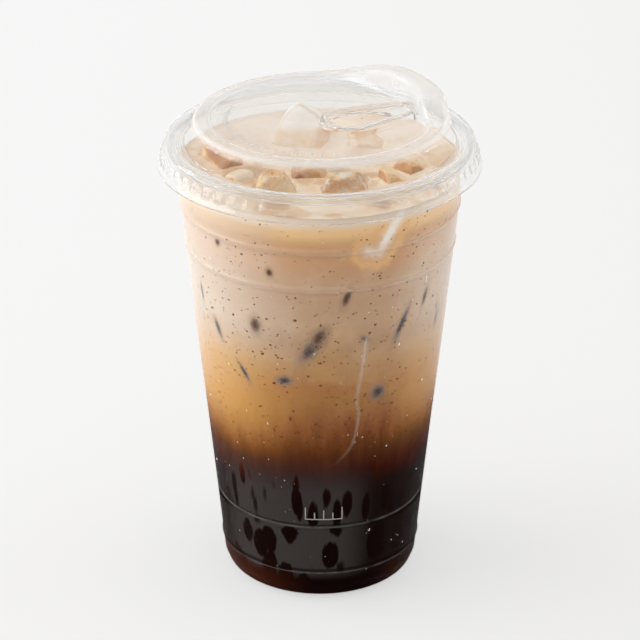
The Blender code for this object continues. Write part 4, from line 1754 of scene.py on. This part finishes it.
@dataclass
class Lid:
    """The clear sip lid: hole, lip, floor, ring with its spout, dome, trough, bead and lugged skirt.

    The profiles are (radius, height) points in millimetres, from the floor over the ring where it
    lies flat and where it is the spout. The hole's edge and the lip are (distance from the drop,
    height). The floor is lifted to the lip where the lip stands nearer to the floor's circle than
    the bridged distances: wholly at the first, not at all at the second.
    """

    sheet: float = 0.45 * MM
    floor_height: float = 159.1 * MM
    floor_radius: float = 32.0 * MM
    lip_height: float = 161.0 * MM
    lip: tuple[Triple, Triple] = ((9.0 * MM, -3.5 * MM, 9.0 * MM), (25.2 * MM, 5.2 * MM, 6.0 * MM))
    hole: tuple[Triple, Triple] = ((9.6 * MM, -3.1 * MM, 5.8 * MM), (17.0 * MM, 0.9 * MM, 4.8 * MM))
    hole_centre: Span = (13.0 * MM, -1.3 * MM)
    spout_start: Span = (-20.0, 3.0)
    spout_end: Span = (96.0, 42.0)
    lugs: int = 58
    lug_columns: tuple[float, ...] = (0.0, 0.9, 1.0, 1.0, 0.9, 0.0)
    lug_foot: Span = (147.4 * MM, 147.9 * MM)
    lug_top: Span = (149.9 * MM, 150.5 * MM)
    lug_reach: float = 0.5 * MM
    lugs_beyond: float = 50.0 * MM
    floor_rows: int = 7
    spout_inset: float = 1.5 * MM
    lip_room: float = 0.25 * MM
    bridged: Span = (0.2 * MM, 1.6 * MM)
    search: float = 60.0 * MM
    halvings: int = 34
    plastic: LidPlastic = LidPlastic("clear_lid_plastic", 1.36, 0.04 * MM, 0.045, 0.42)
    hole_edge: tuple[Span, ...] = ((0.0, 158.95), (0.15, 159.2), (0.45, 159.25))
    pocket: Span = (0.33, 0.67)
    lip_profile: tuple[Span, ...] = (
        (-2.60, 159.25), (-2.25, 159.28), (-2.10, 159.55), (-2.02, 160.15), (-1.92, 160.65), (-1.70, 160.93),
        (-1.35, 161.0), (-0.45, 161.0), (-0.15, 160.82), (0.0, 160.35), (0.10, 159.65), (0.28, 159.2),
        (0.65, 159.1),
    )
    flat_ring: tuple[Span, ...] = (
        (32.0, 159.1), (33.2, 159.12), (34.5, 159.18), (35.2, 159.38), (35.65, 159.85), (36.1, 160.25),
        (36.75, 160.4), (37.6, 160.42), (38.6, 160.42), (39.4, 160.38), (40.0, 160.2), (40.45, 159.8),
        (40.75, 159.2), (41.2, 158.0), (42.2, 155.8), (43.2, 153.8), (44.0, 152.3),
    )
    spout_ring: tuple[Span, ...] = (
        (30.5, 159.1), (30.7, 159.5), (30.95, 160.8), (31.3, 162.8), (31.65, 164.7), (32.0, 165.8),
        (32.7, 166.55), (33.8, 166.85), (35.8, 166.9), (37.6, 166.8), (39.0, 166.3), (40.0, 165.4),
        (40.65, 164.0), (41.15, 161.8), (42.0, 158.4), (43.1, 154.6), (44.0, 152.3),
    )
    trough: tuple[Span, ...] = ((44.3, 151.4), (44.6, 150.95), (44.95, 150.8), (45.3, 150.9))
    bead_centre: Span = (47.93, 151.0)
    bead_radius: float = 2.4
    bead_arc: Span = (172.0, 0.0)
    bead_rows: int = 25
    skirt: tuple[Span, ...] = (
        (50.38, 150.4), (50.45, 149.8), (50.6, 149.2), (50.85, 148.5), (51.15, 147.8), (51.5, 147.0),
        (51.85, 146.2), (52.15, 145.5), (52.36, 144.85),
    )

    def spout_share(self, azimuth: np.ndarray) -> np.ndarray:
        """How far the ring has risen to the spout at an azimuth in radians, from 0 to 1."""
        degrees = np.degrees(azimuth)
        return smooth_step(*self.spout_start, degrees) * smooth_step(*self.spout_end, degrees)

    def along_ray(self, heading: np.ndarray, drop: tuple[Triple, Triple], inset: np.ndarray) -> np.ndarray:
        """How far each ray from the hole's centre runs to reach a distance to a drop, by halving.

        Args:
            heading: unit rays (columns, 2).
            drop: the drop's wide and narrow circles.
            inset: distances to reach (rows,).

        Returns:
            Lengths (rows, columns).
        """
        low = np.zeros((len(inset), len(heading)))
        high = np.full_like(low, self.search)
        for _ in range(self.halvings):
            middle = (low + high) / 2.0
            points = np.array(self.hole_centre) + middle[..., None] * heading[None]
            inside = drop_distance(points, *drop) < inset[:, None]
            low, high = np.where(inside, middle, low), np.where(inside, high, middle)
        return low

    def inner_grid(self, azimuth: np.ndarray) -> np.ndarray:
        """Rows from the hole's edge over the lip and the floor to the floor's circle.

        Each column is a ray from the hole's centre to that column's point of the circle. Where the
        lip meets the spout's wall, the floor between them is lifted to the lip.

        Args:
            azimuth: the columns' azimuths on the circle.

        Returns:
            The grid (rows, columns, 3).
        """
        circle_radius = self.floor_radius - self.spout_inset * self.spout_share(azimuth)
        ray = cylindrical(circle_radius, azimuth, 0.0)[:, :2] - np.array(self.hole_centre)
        full = np.linalg.norm(ray, axis=1)
        heading = ray / full[:, None]
        inset, lip_height = np.array(self.lip_profile).T * MM
        room = full - self.lip_room * np.arange(len(inset), 0, -1)[:, None] / len(inset)
        lip = np.minimum(self.along_ray(heading, self.lip, inset), room)
        outset, edge_height = np.array(self.hole_edge).T * MM
        edge = self.along_ray(heading, self.hole, np.zeros(1)) + outset[:, None]
        pocket = edge[-1] + (lip[0] - edge[-1]) * np.array(self.pocket)[:, None]
        floor = lip[-1] + (full - lip[-1]) * np.linspace(0.0, 1.0, self.floor_rows + 1)[1:-1, None]
        length = np.concatenate([edge, pocket, lip, floor])
        level, lifted = (np.concatenate(parts)[:, None] for parts in (
            (edge_height, np.full(len(pocket), edge_height[-1]), lip_height,
             np.full(len(floor), self.floor_height)),
            (np.zeros(len(edge) + len(pocket)), inset > -1.0 * MM, np.ones(len(floor))),
        ))
        close = 1.0 - smooth_step(*self.bridged, full - lip[-1])
        z = level + (self.lip_height - level) * close * lifted
        xy = np.array(self.hole_centre) + length[..., None] * heading[None]
        return np.concatenate([xy, z[..., None]], axis=2)

    def outer_grid(self, azimuth: np.ndarray) -> np.ndarray:
        """Rows from the floor's circle over the ring or spout, the trough and the bead to the skirt.

        Args:
            azimuth: the columns' azimuths.

        Returns:
            The grid (rows, columns, 3).
        """
        bead = arc(self.bead_centre, self.bead_radius, *self.bead_arc, self.bead_rows)
        flat, spout = (np.vstack([through_points(ring, 2), self.trough, bead, self.skirt])
                       for ring in (self.flat_ring, self.spout_ring))
        share = self.spout_share(azimuth)[None, :, None]
        radius, height = np.moveaxis((flat[:, None] * (1.0 - share) + spout[:, None] * share) * MM, 2, 0)
        across = np.tile(self.lug_columns, self.lugs)
        on_lug = smooth_step(*self.lug_foot, height) * (1.0 - smooth_step(*self.lug_top, height))
        radius = radius + self.lug_reach * across * on_lug * (radius > self.lugs_beyond)
        return cylindrical(radius, azimuth, height)

    def build(self) -> None:
        """Make the lid as one sheet: its upper face, then that face moved down its normals, backwards."""
        azimuth = whole_turn(self.lugs * len(self.lug_columns))
        azimuth = np.where(azimuth > math.pi, azimuth - math.tau, azimuth)
        upper = np.concatenate([self.inner_grid(azimuth), self.outer_grid(azimuth)])
        around = np.roll(upper, -1, axis=1) - np.roll(upper, 1, axis=1)
        normal = np.cross(np.gradient(upper, axis=0), around)
        normal /= np.maximum(np.linalg.norm(normal, axis=2, keepdims=True), 1e-12)
        loop = np.concatenate([upper, (upper - normal * self.sheet)[::-1]])
        mesh = lay_mesh("lid_shell", loop, grid_faces(len(loop), len(azimuth), True, True))
        add_piece(mesh, "clear_lid_plastic", self.plastic, replaced=["lid"])


@dataclass
class MouldTicks:
    """An arc of short raised radial ticks on the lid's floor, one in every few longer.

    Stretch is the length of the long and the short ones over their size, and sunk is how deep their
    upper edge and their base lie in the floor.
    """

    lid: Lid
    start: float = 158.0
    end: float = 284.0
    count: int = 46
    every: int = 5
    stretch: Span = (1.35, 0.85)
    radius: float = 30.2 * MM
    half_length: float = 1.1 * MM
    half_width: float = 0.28 * MM
    proud: float = 0.30 * MM
    sunk: Span = (0.03 * MM, 0.06 * MM)
    steps: int = 5
    plastic: ClearPlastic = ClearPlastic("frosted_ticks", 1.42, 0.05 * MM, 0.45, 0.75)

    def build(self) -> None:
        """Make the ticks: each a pillow whose top is the product of two rounded steps."""
        line = np.linspace(-1.0, 1.0, self.steps)
        along, across = (grid.ravel() for grid in np.meshgrid(line, line, indexing="ij"))
        azimuth = np.radians(np.linspace(self.start, self.end, self.count))[:, None]
        longer = np.where(np.arange(self.count) % self.every == 0, *self.stretch)[:, None]
        radius = self.radius + along * self.half_length * longer
        side = across * self.half_width
        x = radius * np.cos(azimuth) - side * np.sin(azimuth)
        y = radius * np.sin(azimuth) + side * np.cos(azimuth)
        crown = (1.0 - along ** 4) * (1.0 - across ** 2) * self.proud
        z = self.lid.floor_height - self.sunk[0] + np.broadcast_to(crown, x.shape)
        base = np.full_like(x, self.lid.floor_height - self.sunk[1])
        corners = np.concatenate([np.stack([x, y, z], axis=2), np.stack([x, y, base], axis=2)], axis=1)
        quads = grid_faces(self.steps, self.steps)
        number = np.arange(self.steps ** 2).reshape(self.steps, self.steps)
        rim = np.concatenate([number[0, :-1], number[:-1, -1], number[-1, :0:-1], number[:0:-1, 0]])
        low = self.steps ** 2
        wall = np.stack([rim, np.roll(rim, -1), np.roll(rim, -1) + low, rim + low], axis=1)
        faces = np.concatenate([quads, quads[:, ::-1] + low, wall])
        add_piece(scattered_mesh("lid_ticks", corners, faces), "clear_lid_plastic", self.plastic)


# ---------------------------------------------------------------- studio

@dataclass
class Studio:
    """White floor, a soft white surround that is dimmer in front, two side lights and the camera.

    Each softbox has its place, its two sides and its power in watts.
    """

    camera_place: Triple = (0.0, -0.900, 0.5173)
    pitch: float = 25.51
    lens: float = 169.8
    floor_size: float = 12.0
    floor_lines: int = 9
    floor_gap: float = 0.02 * MM
    surround: float = 0.62
    behind: float = 0.20
    overhead: float = 0.35
    aim_height: float = 0.09
    softboxes: tuple[tuple[str, Triple, Span, float], ...] = (
        ("left_softbox", (-3.3, 0.1, 1.5), (4.2, 2.8), 108.0),
        ("right_softbox", (3.0, 0.5, 1.3), (3.0, 2.4), 24.0),
    )

    def place_object(self, name: str, data: bpy.types.ID) -> bpy.types.Object:
        """Add an object to the scene.

        Args:
            name: its name.
            data: what it holds.

        Returns:
            The object.
        """
        made = bpy.data.objects.new(name, data)
        bpy.context.scene.collection.objects.link(made)
        return made

    def add_floor(self) -> None:
        """Lay the floor just under the cup's base."""
        line = np.linspace(-0.5, 0.5, self.floor_lines) * self.floor_size
        x, y = np.meshgrid(line, line, indexing="xy")
        points = np.stack([x, y, np.full_like(x, -self.floor_gap)], axis=2)
        mesh = lay_mesh("studio_floor", points, grid_faces(self.floor_lines, self.floor_lines))
        mesh.materials.append(FloorFinish().make())
        self.place_object("studio_floor", mesh)

    def add_surround(self) -> None:
        """Light from all round: brighter behind and overhead, dimmer towards the front."""
        world = bpy.data.worlds.new("soft_white_surround")
        world.use_nodes = True
        graph = NodeGraph()
        graph.tree = world.node_tree
        graph.tree.nodes.clear()
        direction = graph.node("ShaderNodeTexCoord", {}, {}, "Generated")
        y, z = graph.axis("Y", direction), graph.axis("Z", direction)
        strength = self.surround + self.behind * y + self.overhead * z * z
        shade = graph.node("ShaderNodeBackground", {}, {"Color": (1.0, 0.998, 0.992), "Strength": strength})
        graph.node("ShaderNodeOutputWorld", {}, {"Surface": shade})
        bpy.context.scene.world = world

    def add_softboxes(self) -> None:
        """Hang the rectangular lights so that they face the drink's middle."""
        for name, place, size, power in self.softboxes:
            light = bpy.data.lights.new(name, "AREA")
            light.shape = "RECTANGLE"
            light.size, light.size_y = size
            light.energy = power
            lamp = self.place_object(name, light)
            lamp.location = place
            x, y, z = place
            tilt = math.atan2(math.hypot(x, y), z - self.aim_height)
            lamp.rotation_euler = (tilt, 0.0, math.atan2(y, x) + math.pi / 2.0)

    def add_camera(self) -> None:
        """Set the camera that the frame is seen from."""
        lens = bpy.data.cameras.new("main_camera")
        lens.lens = self.lens
        lens.sensor_width = 36.0
        lens.clip_start = 0.05
        camera = self.place_object("main_camera", lens)
        camera.location = self.camera_place
        camera.rotation_euler = (math.radians(90.0 - self.pitch), 0.0, 0.0)
        bpy.context.scene.camera = camera

    def build(self) -> None:
        """Set up the whole studio."""
        self.add_floor()
        self.add_surround()
        self.add_softboxes()
        self.add_camera()
        view = bpy.context.scene.view_settings
        view.view_transform = "Standard"
        view.look = "None"
        LOG.info("studio: floor, surround, two softboxes and camera")


def main() -> None:
    """Build the cup, the ice, the drink, what shows in and on the wall, the lid and the studio."""
    logging.basicConfig(level=logging.INFO, format="%(name)s %(message)s")
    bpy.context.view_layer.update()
    cup = Cup()
    cup.build()
    ice = Ice()
    ice.build()
    drink = Drink(cup, ice)
    drink.build()
    marks = WallMarks(cup)
    marks.build_spots()
    marks.build_trails()
    Cinnamon(cup, drink).build()
    Condensation(cup).build()
    FillMark(cup).build()
    lid = Lid()
    lid.build()
    MouldTicks(lid).build()
    Studio().build()


if __name__ == "__main__":
    main()
